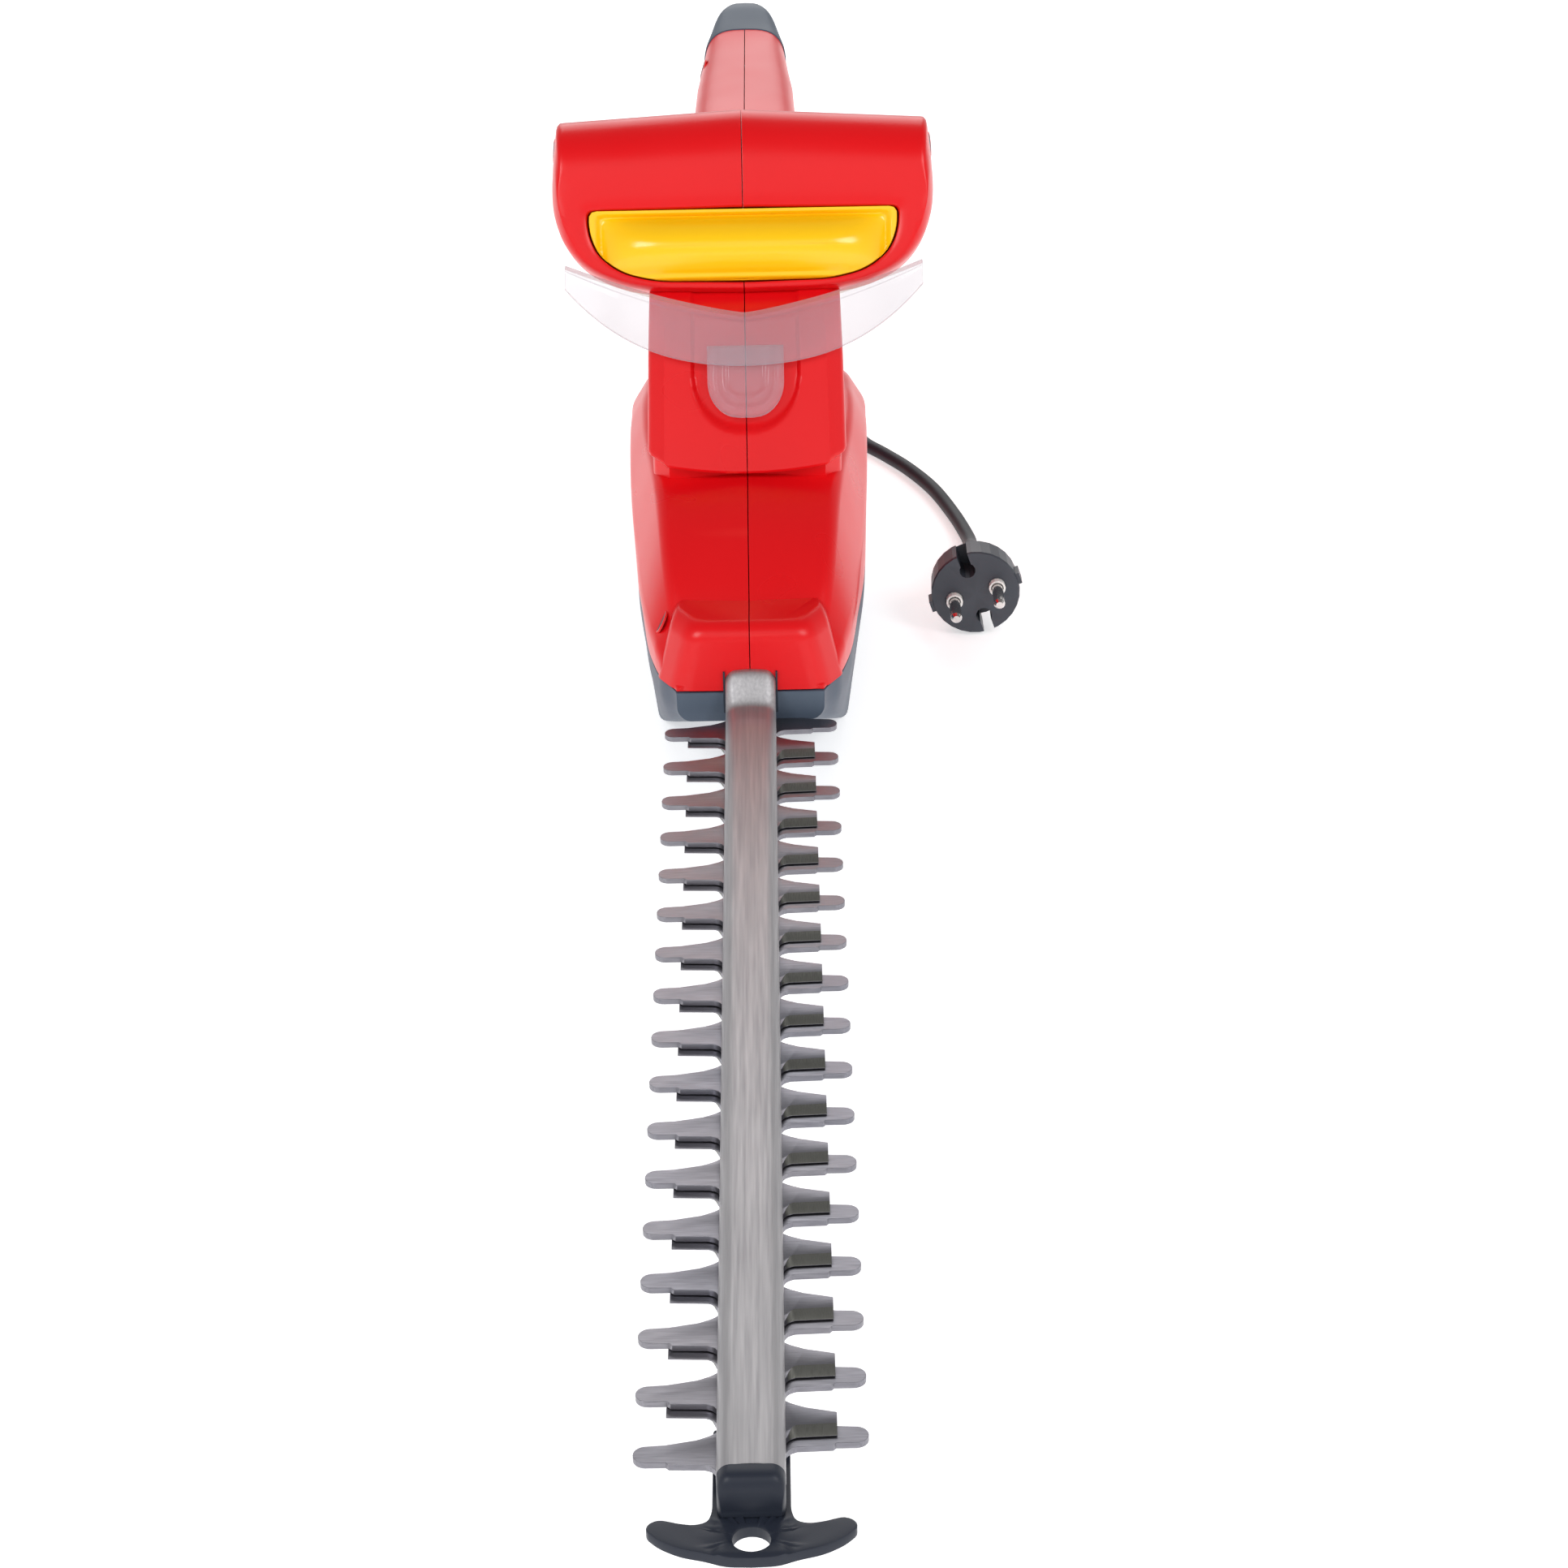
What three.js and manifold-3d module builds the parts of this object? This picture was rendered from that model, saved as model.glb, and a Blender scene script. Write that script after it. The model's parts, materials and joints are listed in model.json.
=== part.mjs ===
// Electric hedge trimmer: red two-shell housing, double-acting toothed blades, clear hand guard.
// Millimetres. +Z up, blades towards -Y, x = 0 is the mid-plane, z = 0 is the resting surface.
import * as THREE from 'three';
import { ConvexGeometry } from 'three/addons/geometries/ConvexGeometry.js';
import { mergeVertices } from 'three/addons/utils/BufferGeometryUtils.js';
import Module from 'manifold-3d';

const wasm = await Module();
wasm.setup();

// ---- Driving dimensions ----
const GAP = 0.3; // clearance between touching pieces
const TOOTH_PITCH = 27;
const LONG_TEETH = 17;
const SHORT_TEETH = LONG_TEETH - 1;
const LONG_REACH = 32.5; // centreline to the tip of a long tooth
const SHORT_REACH = 23.8;
const TIP_HALF = 3.6; // half the width of a tooth at its tip
const BLADE_THICKNESS = 2;
const BLADE_TOP = 49; // height of the upper blade's top face
const BLADE_STROKE = TOOTH_PITCH / 4; // each blade moves this far either way
const REST_STAGGER = 5.05; // how far each blade stands from its middle at rest
const COVER_WIDTH = 19;
const COVER_HEIGHT = 8;
const BODY_FRONT = 11;
const BODY_LENGTH = 240;
const BODY_HALF = 49; // widest half-width
const BASE_TOP = 58.5; // top of the grey base at the front
const NECK_HALF = 39;
const WALL = 2.8;
const POD_HALF = 76;
const POD_DEPTH = 36;
const GRIP_HALF = 24.5;
const HANDLE_END = 481;
const GRIP_TOP = 186;
const CAP_START = 440;
const CORD_DIAMETER = 6.4;
const PLUG_RADIUS = 19;
const BOLT_RADIUS = 2.2;
const BOLT_COUNT = 5;
const CAM_RADIUS = 9;
const GEAR_TEETH = 40;
const PINION_TEETH = 10;
const GEAR_MODULE = 1.68;
const GEAR_THICKNESS = 7;
const MOTOR_SETBACK = 116.6; // motor axis behind the body's front
const MOTOR_RADIUS = 28;
const MOTOR_LENGTH = 44;
const SHAFT_RADIUS = 3.9;
const SWITCH_TRAVEL = 5;

// ---- Places worked out from them ----
const blade2Top = BLADE_TOP - BLADE_THICKNESS - GAP;
const blade2Bottom = blade2Top - BLADE_THICKNESS;
const stripTop = blade2Bottom - GAP;
const coverBottom = BLADE_TOP + GAP;
const coverTop = coverBottom + COVER_HEIGHT;
const cutLength = (LONG_TEETH - 1) * TOOTH_PITCH;
const firstTooth = BODY_FRONT - 10 - cutLength; // nearest long tooth, blade at its middle
const bladeTip = firstTooth - 8;
const coverTip = bladeTip - BLADE_STROKE - 5;
const bodyRear = BODY_FRONT + BODY_LENGTH;
const gearRadius = GEAR_MODULE * GEAR_TEETH / 2;
const pinionRadius = GEAR_MODULE * PINION_TEETH / 2;
const motorY = BODY_FRONT + MOTOR_SETBACK;
const gearY = motorY - gearRadius - pinionRadius;
const gearBottom = BLADE_TOP + 4;
const gearTop = gearBottom + GEAR_THICKNESS;
const plateBottom = gearTop + 1.5;
const plateTop = plateBottom + 3;
const motorBottom = plateTop + 3.5;
const motorTop = motorBottom + MOTOR_LENGTH;

// ---- Solids ----
function solid(geometry) {
  geometry.deleteAttribute('normal');
  geometry.deleteAttribute('uv');
  const merged = mergeVertices(geometry, 1e-4);
  return new wasm.Manifold(new wasm.Mesh({
    numProp: 3,
    vertProperties: new Float32Array(merged.attributes.position.array),
    triVerts: new Uint32Array(merged.index.array),
  }));
}

function shapeOf(points) {
  return new THREE.Shape(points.map(([a, b]) => new THREE.Vector2(a, b)));
}

function extruded(shape, depth, bevel = 0, steps = 1) {
  return new THREE.ExtrudeGeometry(shape, {
    depth: depth - 2 * bevel,
    bevelEnabled: bevel > 0,
    bevelSize: bevel,
    bevelThickness: bevel,
    bevelOffset: -bevel,
    bevelSegments: steps,
    curveSegments: 10,
  }).translate(0, 0, bevel);
}

// Outline in x and y, extruded along z from z0 to z1.
function plan(points, z0, z1, bevel = 0, steps = 1) {
  const shape = points instanceof THREE.Shape ? points : shapeOf(points);
  return solid(extruded(shape, z1 - z0, bevel, steps).translate(0, 0, z0));
}

// Outline in y and z, extruded along x from x0 to x1.
function side(points, x0, x1, bevel = 0, steps = 1) {
  const shape = points instanceof THREE.Shape ? points : shapeOf(points);
  const turn = new THREE.Matrix4().makeBasis(
    new THREE.Vector3(0, 1, 0), new THREE.Vector3(0, 0, 1), new THREE.Vector3(1, 0, 0));
  return solid(extruded(shape, x1 - x0, bevel, steps).applyMatrix4(turn).translate(x0, 0, 0));
}

// Outline in x and z, extruded along y from y0 to y1.
function front(points, y0, y1, bevel = 0, steps = 1) {
  const shape = points instanceof THREE.Shape ? points : shapeOf(points);
  const turn = new THREE.Matrix4().makeBasis(
    new THREE.Vector3(1, 0, 0), new THREE.Vector3(0, 0, 1), new THREE.Vector3(0, -1, 0));
  return solid(extruded(shape, y1 - y0, bevel, steps).applyMatrix4(turn).translate(0, y1, 0));
}

function box(x0, x1, y0, y1, z0, z1) {
  const geometry = new THREE.BoxGeometry(x1 - x0, y1 - y0, z1 - z0);
  return solid(geometry.translate((x0 + x1) / 2, (y0 + y1) / 2, (z0 + z1) / 2));
}

// Turned piece: [radius, height] pairs spun round the vertical line through (x, y).
function turned(profile, x, y, segments = 24) {
  const geometry = new THREE.LatheGeometry(profile.map(([r, h]) => new THREE.Vector2(r, h)), segments);
  return solid(geometry.rotateX(Math.PI / 2).translate(x, y, 0));
}

function disc(radius, z0, z1, x, y, segments = 24) {
  return turned([[0, z0], [radius, z0], [radius, z1], [0, z1]], x, y, segments);
}

function ring(inner, outer, z0, z1, x, y, segments = 24) {
  return turned([[inner, z0], [outer, z0], [outer, z1], [inner, z1], [inner, z0]], x, y, segments);
}

// Turned piece on an axis along y, from profile pairs [radius, distance along y].
function turnedAlongY(profile, x, z, segments = 24) {
  const geometry = new THREE.LatheGeometry(profile.map(([r, h]) => new THREE.Vector2(r, h)), segments);
  return solid(geometry.translate(x, 0, z));
}

function turnedAlongX(profile, y, z, segments = 16) {
  const geometry = new THREE.LatheGeometry(profile.map(([r, h]) => new THREE.Vector2(r, h)), segments);
  return solid(geometry.rotateZ(-Math.PI / 2).translate(0, y, z));
}

const group = new THREE.Group();

function add(name, piece, color, roughness = 0.5, metalness = 0) {
  const data = piece.getMesh();
  const geometry = new THREE.BufferGeometry();
  geometry.setAttribute('position', new THREE.BufferAttribute(data.vertProperties, 3));
  geometry.setIndex(new THREE.BufferAttribute(data.triVerts, 1));
  geometry.computeVertexNormals();
  const mesh = new THREE.Mesh(geometry, new THREE.MeshStandardMaterial({ color, roughness, metalness }));
  mesh.name = name;
  group.add(mesh);
}

const RED = 0xe30a13;
const YELLOW = 0xfcc800;
const GREY = 0x5a6472;
const BLACK = 0x22252e;
const STEEL = 0x9a9ca2;
const ALUMINIUM = 0xc4c5c8;
const COPPER = 0xb06a3c;

// ---- Body: side, plan and front outlines cut each other; inset gives the cavity ----
function bodyOutline(inset) {
  const half = BODY_HALF - inset;
  const rear = bodyRear - inset;
  const nose = BODY_FRONT + inset;
  const profile = side([
    [nose, 46 + inset], [nose + 89, inset], [rear, inset], [rear, 92 - inset], [rear - 25, 110 - inset],
    [nose + 84, 110 - inset], [nose + 13, 81.5 - inset], [nose + 4, 72 - inset], [nose, 58],
  ], -half, half);
  const outline = plan([
    [-28 + inset, nose], [28 - inset, nose], [35 - inset, nose + 14], [half - 5, nose + 90],
    [half, nose + 165], [half, rear - 20], [half - 14, rear], [14 - half, rear], [-half, rear - 20],
    [-half, nose + 165], [5 - half, nose + 90], [inset - 35, nose + 14],
  ], 0, 200);
  const section = front([
    [-half + 8, -1], [half - 8, -1], [half, 30], [half, 62], [half - 6, 106 - inset],
    [half - 16, 120], [16 - half, 120], [6 - half, 106 - inset], [-half, 62], [-half, 30],
  ], nose - 1, rear + 1);
  return profile.intersect(outline).intersect(section);
}

// Neck: its front face leans back from the deck to the foot of the front handle.
const neckFoot = { y: BODY_FRONT + 82, z: 118 };
const podFoot = { y: neckFoot.y + 42, z: 172 };
const neckLean = (podFoot.y - neckFoot.y - 3) / (podFoot.z - neckFoot.z);
function neckFace(z) {
  return neckFoot.y + (z - neckFoot.z) * neckLean;
}

function neckOutline(inset) {
  const rear = bodyRear - 36 - inset;
  return side([
    [neckFoot.y + 2 + inset, 60], [rear, 60], [rear - 5, 190 - inset],
    [neckFace(190) + 12 + inset, 190 - inset],
    [neckFace(podFoot.z) + inset, podFoot.z], [neckFace(118) + inset, 118], [neckFoot.y + 2 + inset, 110],
  ], inset - NECK_HALF, NECK_HALF - inset, 5);
}

// Front handle pod: a D drawn in its own leaning plane, s up the plane and n out of its front.
const podLean = THREE.MathUtils.degToRad(65);
const podUp = new THREE.Vector3(0, Math.cos(podLean), Math.sin(podLean));
const podOut = new THREE.Vector3(0, -Math.sin(podLean), Math.cos(podLean));
function inPod(geometry) {
  const turn = new THREE.Matrix4().makeBasis(new THREE.Vector3(1, 0, 0), podUp, podOut);
  turn.setPosition(0, podFoot.y, podFoot.z);
  return solid(geometry.applyMatrix4(turn));
}
const POD_HEIGHT = 74;
const RECESS_RADIUS = 5.6; // screw recess in each end of the pod

// The pod is convex: the D outline, drawn in as it nears the front and back faces.
function podOutline(inset) {
  const points = [];
  const steps = 12;
  for (let i = 0; i <= steps; i += 1) {
    const turn = Math.PI * (i / steps);
    const across = -Math.cos(turn) * (POD_HALF - inset);
    const down = POD_HEIGHT * 0.5 * Math.pow(Math.sin(turn), 0.62);
    points.push([across, POD_HEIGHT * 0.5 - down + inset * Math.sin(turn)]);
  }
  points.push([POD_HALF - 3 - inset, POD_HEIGHT - 5 - inset]);
  points.push([POD_HALF - 5 - inset, POD_HEIGHT - 3.5 - inset]);
  points.push([0, POD_HEIGHT - inset]);
  points.push([5 - POD_HALF + inset, POD_HEIGHT - 3.5 - inset]);
  points.push([3 - POD_HALF + inset, POD_HEIGHT - 5 - inset]);
  return points;
}

function podSolid(depth) {
  const levels = [[0, 7], [-1.5, 3], [-6, 0], [6 - depth, 0], [1.5 - depth, 3], [-depth, 7]];
  const points = levels.flatMap(([out, inset]) => podOutline(inset).map(([x, s]) => new THREE.Vector3(x, s, out)));
  return inPod(new ConvexGeometry(points));
}
const LEVER_HALF = 61;
const LEVER_LOW = 5;
const LEVER_HIGH = 33;

function leverShape(spread) {
  const half = LEVER_HALF + spread;
  const shape = new THREE.Shape();
  shape.moveTo(-half, LEVER_HIGH - 4);
  shape.bezierCurveTo(-half, LEVER_LOW + 6, -half * 0.75, LEVER_LOW - spread, -half * 0.3, LEVER_LOW - spread);
  shape.lineTo(half * 0.3, LEVER_LOW - spread);
  shape.bezierCurveTo(half * 0.75, LEVER_LOW - spread, half, LEVER_LOW + 6, half, LEVER_HIGH - 4);
  shape.lineTo(half - 3, LEVER_HIGH + spread);
  shape.lineTo(3 - half, LEVER_HIGH + spread);
  return shape;
}
const leverDepth = 14;
const pod = podSolid(POD_DEPTH);
const leverPocket = inPod(
  extruded(leverShape(0.6), leverDepth + SWITCH_TRAVEL + 14).translate(0, 0, -leverDepth - SWITCH_TRAVEL - 3));
const switchPocket = inPod(
  new THREE.BoxGeometry(24, 20, 12).translate(0, 18, -leverDepth - SWITCH_TRAVEL - 7));
const recessPlace = new THREE.Vector3(0, podFoot.y, podFoot.z)
  .addScaledVector(podUp, 58).addScaledVector(podOut, -16);
function podRecess(sign) {
  const profile = [[0, 66 * sign], [RECESS_RADIUS, 66 * sign], [RECESS_RADIUS, 80 * sign], [0, 80 * sign]];
  return turnedAlongX(sign > 0 ? profile : profile.reverse(), recessPlace.y, recessPlace.z);
}

// Rear handle: a closed loop with a hand hole, tapered in plan.
const holeFront = bodyRear + 11;
function loopProfile() {
  return side([
    [podFoot.y + 40, GRIP_TOP - 8], [podFoot.y + 65, GRIP_TOP - 1], [CAP_START, GRIP_TOP],
    [HANDLE_END - 13, GRIP_TOP + 5.5], [HANDLE_END - 5, GRIP_TOP + 3.5], [HANDLE_END, GRIP_TOP - 6],
    [HANDLE_END - 1, GRIP_TOP - 34],
    [HANDLE_END - 40, 60], [HANDLE_END - 62, 14], [HANDLE_END - 74, 4], [HANDLE_END - 90, 0],
    [bodyRear - 30, 0], [bodyRear - 30, 80], [podFoot.y + 40, 120],
  ], -GRIP_HALF - 2, GRIP_HALF + 2, 6, 2);
}
function loopPlan() {
  const end = HANDLE_END + 1;
  const start = podFoot.y + 20;
  const half = [[start, 26.5], [300, GRIP_HALF], [422, GRIP_HALF - 5], [452, GRIP_HALF - 6], [470, 15], [end, 8]];
  const right = half.map(([y, x]) => [x, y]);
  const left = half.map(([y, x]) => [-x, y]).reverse();
  return plan([...right, ...left], -1, 250);
}
const handHole = side([
  [holeFront, 44], [holeFront + 10, 34], [HANDLE_END - 88, 34], [HANDLE_END - 76, 44],
  [HANDLE_END - 40, 138], [HANDLE_END - 44, 152], [HANDLE_END - 56, 158], [holeFront + 8, 158],
  [holeFront, 150],
], -40, 40);
const TRIGGER_Y = holeFront + 4;
const TRIGGER_LENGTH = 70;
const triggerPocket = box(-9, 9, TRIGGER_Y - 4, TRIGGER_Y + TRIGGER_LENGTH + 3, 150, 175);
const rearSwitchPocket = box(-8, 8, TRIGGER_Y + 18, TRIGGER_Y + 46, 174, 181.5);
const capBlock = box(-40, 40, CAP_START, HANDLE_END + 5, 118, 220);
const loop = loopProfile().intersect(loopPlan()).subtract(handHole);

// ---- Strain relief of the cord, tapered, at the foot of the rear handle ----
const GLAND_END = new THREE.Vector3(-11, HANDLE_END - 45, 11);
const GLAND_START = new THREE.Vector3(-2.5, HANDLE_END - 80, 15);
const glandAim = GLAND_END.clone().sub(GLAND_START);
const glandLength = glandAim.length();
const glandTurn = new THREE.Quaternion()
  .setFromUnitVectors(new THREE.Vector3(0, 1, 0), glandAim.clone().normalize());
function gland(grow) {
  const tip = CORD_DIAMETER / 2 + 1;
  const profile = [
    [0, -grow], [7.2 + grow, -grow], [7.2 + grow, 9 + grow], [5.6 + grow, 9 + grow],
    [tip + grow, glandLength], [0, glandLength],
  ];
  const geometry = new THREE.LatheGeometry(profile.map(([r, h]) => new THREE.Vector2(r, h)), 16);
  return solid(geometry.applyQuaternion(glandTurn).translate(GLAND_START.x, GLAND_START.y, GLAND_START.z));
}

// ---- Cuts in the housing ----
const outerBody = bodyOutline(0);
const cavity = bodyOutline(WALL).add(neckOutline(WALL + 1));
const baseLine = [
  [BODY_FRONT - 5, -5], [bodyRear + 5, -5], [bodyRear + 5, 26], [BODY_FRONT + 190, 40],
  [BODY_FRONT + 14, BASE_TOP], [BODY_FRONT - 5, BASE_TOP],
];
const baseCut = side(baseLine, -80, 80);
const baseBlock = side(baseLine.map(([y, z]) => [y, z > 0 ? z - GAP : z]), -80, 80);
const rearBlock = box(-80, 80, bodyRear - 14, bodyRear + 20, -5, 130);
const coverHalf = COVER_WIDTH / 2;
const coverNotch = front([
  [-coverHalf - 0.8, 30], [coverHalf + 0.8, 30], [coverHalf + 0.8, 67], [coverHalf - 2, 71],
  [2 - coverHalf, 71], [-coverHalf - 0.8, 67],
], BODY_FRONT - 6, BODY_FRONT + 34);
const lastReach = firstTooth + cutLength + BLADE_STROKE + TIP_HALF + 1; // how far back the last long tooth comes
const bladeSlot = box(-24, 24, BODY_FRONT - 6, BODY_FRONT + 12, blade2Bottom - 4.5, BLADE_TOP + GAP)
  .add(box(-LONG_REACH - 1, LONG_REACH + 1, BODY_FRONT - 6, lastReach, blade2Bottom - 4.5, BLADE_TOP + GAP));
const tabPocket = side([
  [neckFace(128) - 6, 128], [neckFace(128) + 2.6, 128], [neckFace(152) + 2.6, 152],
  [neckFace(176) + 2.6, 176], [neckFace(176) - 6, 176],
], -20, 20);

const shell = outerBody.add(neckOutline(0)).add(pod).add(loop)
  .subtract(cavity.subtract(rearBlock))
  .subtract(baseCut.subtract(box(-80, 80, bodyRear - 14, bodyRear + 20, -10, 200)))
  .subtract(coverNotch).subtract(bladeSlot).subtract(leverPocket).subtract(switchPocket)
  .subtract(triggerPocket).subtract(rearSwitchPocket).subtract(capBlock).subtract(tabPocket)
  .subtract(podRecess(1)).subtract(podRecess(-1))
  .subtract(gland(GAP));

// ---- Screws that clamp the shells, driven from the left ----
const screwPlaces = [
  [BODY_FRONT + 26, 76], [bodyRear - 22, 94], [bodyRear - 8, 12], [podFoot.y + 42, 150],
  [330, 22], [428, 60], [410, 178], [bodyRear - 15, 172],
];
const SCREW_HEAD = 3.6;
function screwSolid(y, z, grow) {
  return turnedAlongX([
    [0, -9 - grow], [SCREW_HEAD + grow, -9 - grow], [SCREW_HEAD + grow, -6], [1.6 + grow, -6],
    [1.6 + grow, 8 + grow], [0, 8 + grow],
  ], y, z, 12);
}
let bored = shell;
for (const [y, z] of screwPlaces) {
  const access = turnedAlongX([[0, -60], [SCREW_HEAD + GAP, -60], [SCREW_HEAD + GAP, -8], [0, -8]], y, z, 12);
  bored = bored.subtract(screwSolid(y, z, GAP)).subtract(access);
}
screwPlaces.forEach(([y, z], i) => add(`housing_screw_${i + 1}`, screwSolid(y, z, 0), STEEL, 0.35, 0.9));

const half = GAP / 2;
add('left_housing', bored.intersect(box(-100, -half, -10, 500, -10, 260)), RED, 0.35);
add('right_housing', bored.intersect(box(half, 100, -10, 500, -10, 260)), RED, 0.35);

// ---- Grey base cover under the gearbox, and the rear grip cap ----
const base = outerBody.intersect(baseBlock).subtract(bodyOutline(WALL)).subtract(rearBlock)
  .subtract(bladeSlot).subtract(coverNotch).subtract(box(-80, 80, bodyRear - 14 - GAP, 500, -10, 200));
add('gear_base_cover', base, GREY, 0.4);
const capSolid = loop.intersect(box(-40, 40, CAP_START + GAP, HANDLE_END + 5, 118 + GAP, 220));
add('rear_grip_cap', capSolid, GREY, 0.45);

// ---- Front switch bar: a flat rim round a bulging belly ----
const leverRim = extruded(leverShape(0), leverDepth).translate(0, 0, 1 - leverDepth);
const belly = [[0, 10], [5, 3], [9, 0], [11, -3]];
const bellyPoints = belly.flatMap(([out, inset]) => {
  const ends = 54 - Math.max(inset, 0);
  const foot = LEVER_LOW + 2.5 + Math.max(inset, 0) * 0.4;
  const top = LEVER_HIGH - 8 - (inset < 0 ? 7 : 0);
  return [-1, -0.85, -0.4, 0.4, 0.85, 1].map((t) => {
    const low = foot + (Math.abs(t) > 0.9 ? 9 : Math.abs(t) > 0.5 ? 3 : 0);
    return [new THREE.Vector3(t * ends, Math.min(low, top - 2), out), new THREE.Vector3(t * ends, top, out)];
  }).flat();
});
const bar = inPod(leverRim).add(inPod(new ConvexGeometry(bellyPoints).translate(0, 0, -3)));
add('front_switch_bar', bar, YELLOW, 0.35);
add('front_switch', inPod(new THREE.BoxGeometry(20, 12, 9).translate(0, 19, -leverDepth - SWITCH_TRAVEL - 7.5)),
  BLACK, 0.6);

// ---- Rear trigger, hinged at its front end under the grip ----
const triggerHinge = { y: TRIGGER_Y + 2, z: 163 };
add('rear_trigger', side([
  [TRIGGER_Y, 159], [TRIGGER_Y + 6, 154], [TRIGGER_Y + 30, 149], [TRIGGER_Y + TRIGGER_LENGTH - 14, 145],
  [TRIGGER_Y + TRIGGER_LENGTH - 2, 147], [TRIGGER_Y + TRIGGER_LENGTH, 152],
  [TRIGGER_Y + TRIGGER_LENGTH, 163], [TRIGGER_Y + 2, 165],
], -8, 8, 1.5), YELLOW, 0.4);
add('rear_switch', box(-7, 7, TRIGGER_Y + 20, TRIGGER_Y + 44, 175.4, 181), BLACK, 0.6);

// ---- Clear hand guard: a crescent shield with a tab, swept back to its tips ----
const GUARD_THICKNESS = 2.4;
const GUARD_HALF = 70.5;
const guardStand = 3.4;
const guardTop = (x) => 167 + 15.2 * Math.pow(Math.abs(x) / GUARD_HALF, 1.25);
const guardLow = (x) => 150.2 + 0.0034 * x * x + 0.0000003 * Math.pow(x, 4);
const guardSweep = (x) => 5 * Math.pow(Math.max(0, Math.abs(x) - 30) / (GUARD_HALF - 30), 1.5);
function guardPoint(x, z, out) {
  return new THREE.Vector3(x, neckFace(z) - guardStand + guardSweep(x) - out, z);
}
let guard = null;
const guardColumns = Array.from({ length: 15 }, (_, i) => GUARD_HALF * Math.sin((i / 7 - 1) * Math.PI / 2.4)
  / Math.sin(Math.PI / 2.4));
for (let i = 0; i + 1 < guardColumns.length; i += 1) {
  const corners = [];
  for (const x of [guardColumns[i], guardColumns[i + 1]]) {
    for (const z of [Math.min(guardLow(x), guardTop(x) - 3), guardTop(x)]) {
      corners.push(guardPoint(x, z, 0), guardPoint(x, z, GUARD_THICKNESS));
    }
  }
  const panel = solid(new ConvexGeometry(corners));
  guard = guard ? guard.add(panel) : panel;
}
const tabPoints = [[15, 152], [15, 141], [11, 135], [5, 133], [-5, 133], [-11, 135], [-15, 141], [-15, 152]];
const tab = solid(new ConvexGeometry(tabPoints.flatMap(([x, z]) => [
  guardPoint(x, z, 0), guardPoint(x, z, GUARD_THICKNESS)])));
const tabTongue = solid(new ConvexGeometry([[-12, 140], [12, 140], [-12, 158], [12, 158]].flatMap(([x, z]) => [
  guardPoint(x, z, 1), guardPoint(x, z, -guardStand - 2)])));
add('hand_guard', guard.add(tab).add(tabTongue), 0xdfe6ea, 0.1);

// ---- Blades: one plate used twice, long teeth on one side and short on the other ----
const SPINE_HALF = coverHalf - 0.5;
const cutterY = (i) => firstTooth + i * TOOTH_PITCH;
function longTooth(y) {
  const tip = LONG_REACH - TIP_HALF;
  const round = [-60, -30, 0, 30, 60].map((degrees) => {
    const turn = THREE.MathUtils.degToRad(degrees);
    return [tip + TIP_HALF * Math.cos(turn), y + TIP_HALF * Math.sin(turn)];
  });
  return [
    [SPINE_HALF, y - 8.6], [SPINE_HALF + 1, y - 6.4], [SPINE_HALF + 3, y - 5.2], [SHORT_REACH - 1.5, y - 4.6],
    [SHORT_REACH, y - TIP_HALF], [tip, y - TIP_HALF], ...round, [tip, y + TIP_HALF],
    [SHORT_REACH, y + TIP_HALF + 0.4], [SPINE_HALF + 5, y + TIP_HALF + 2], [SPINE_HALF + 1.4, y + 6.6],
    [SPINE_HALF, y + 8.6],
  ];
}
function shortTooth(y) {
  return [
    [SPINE_HALF, y - 8.2], [SPINE_HALF + 1, y - 6.2], [SPINE_HALF + 2.6, y - 5], [SHORT_REACH, y - 4.4],
    [SHORT_REACH, y + 3.9], [SPINE_HALF + 5, y + 5.2], [SPINE_HALF + 1.4, y + 6.6], [SPINE_HALF, y + 8.2],
  ];
}
const boltY = (i) => bladeTip + 34 + i * (cutLength - 40) / (BOLT_COUNT - 1);
const slotLength = BLADE_STROKE + BOLT_RADIUS + 0.5;
const windowX = CAM_RADIUS + BLADE_STROKE + 0.7;
const windowY = CAM_RADIUS + 2 * BLADE_STROKE + 0.9;
const YOKE_RIM = 4.5;
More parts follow.
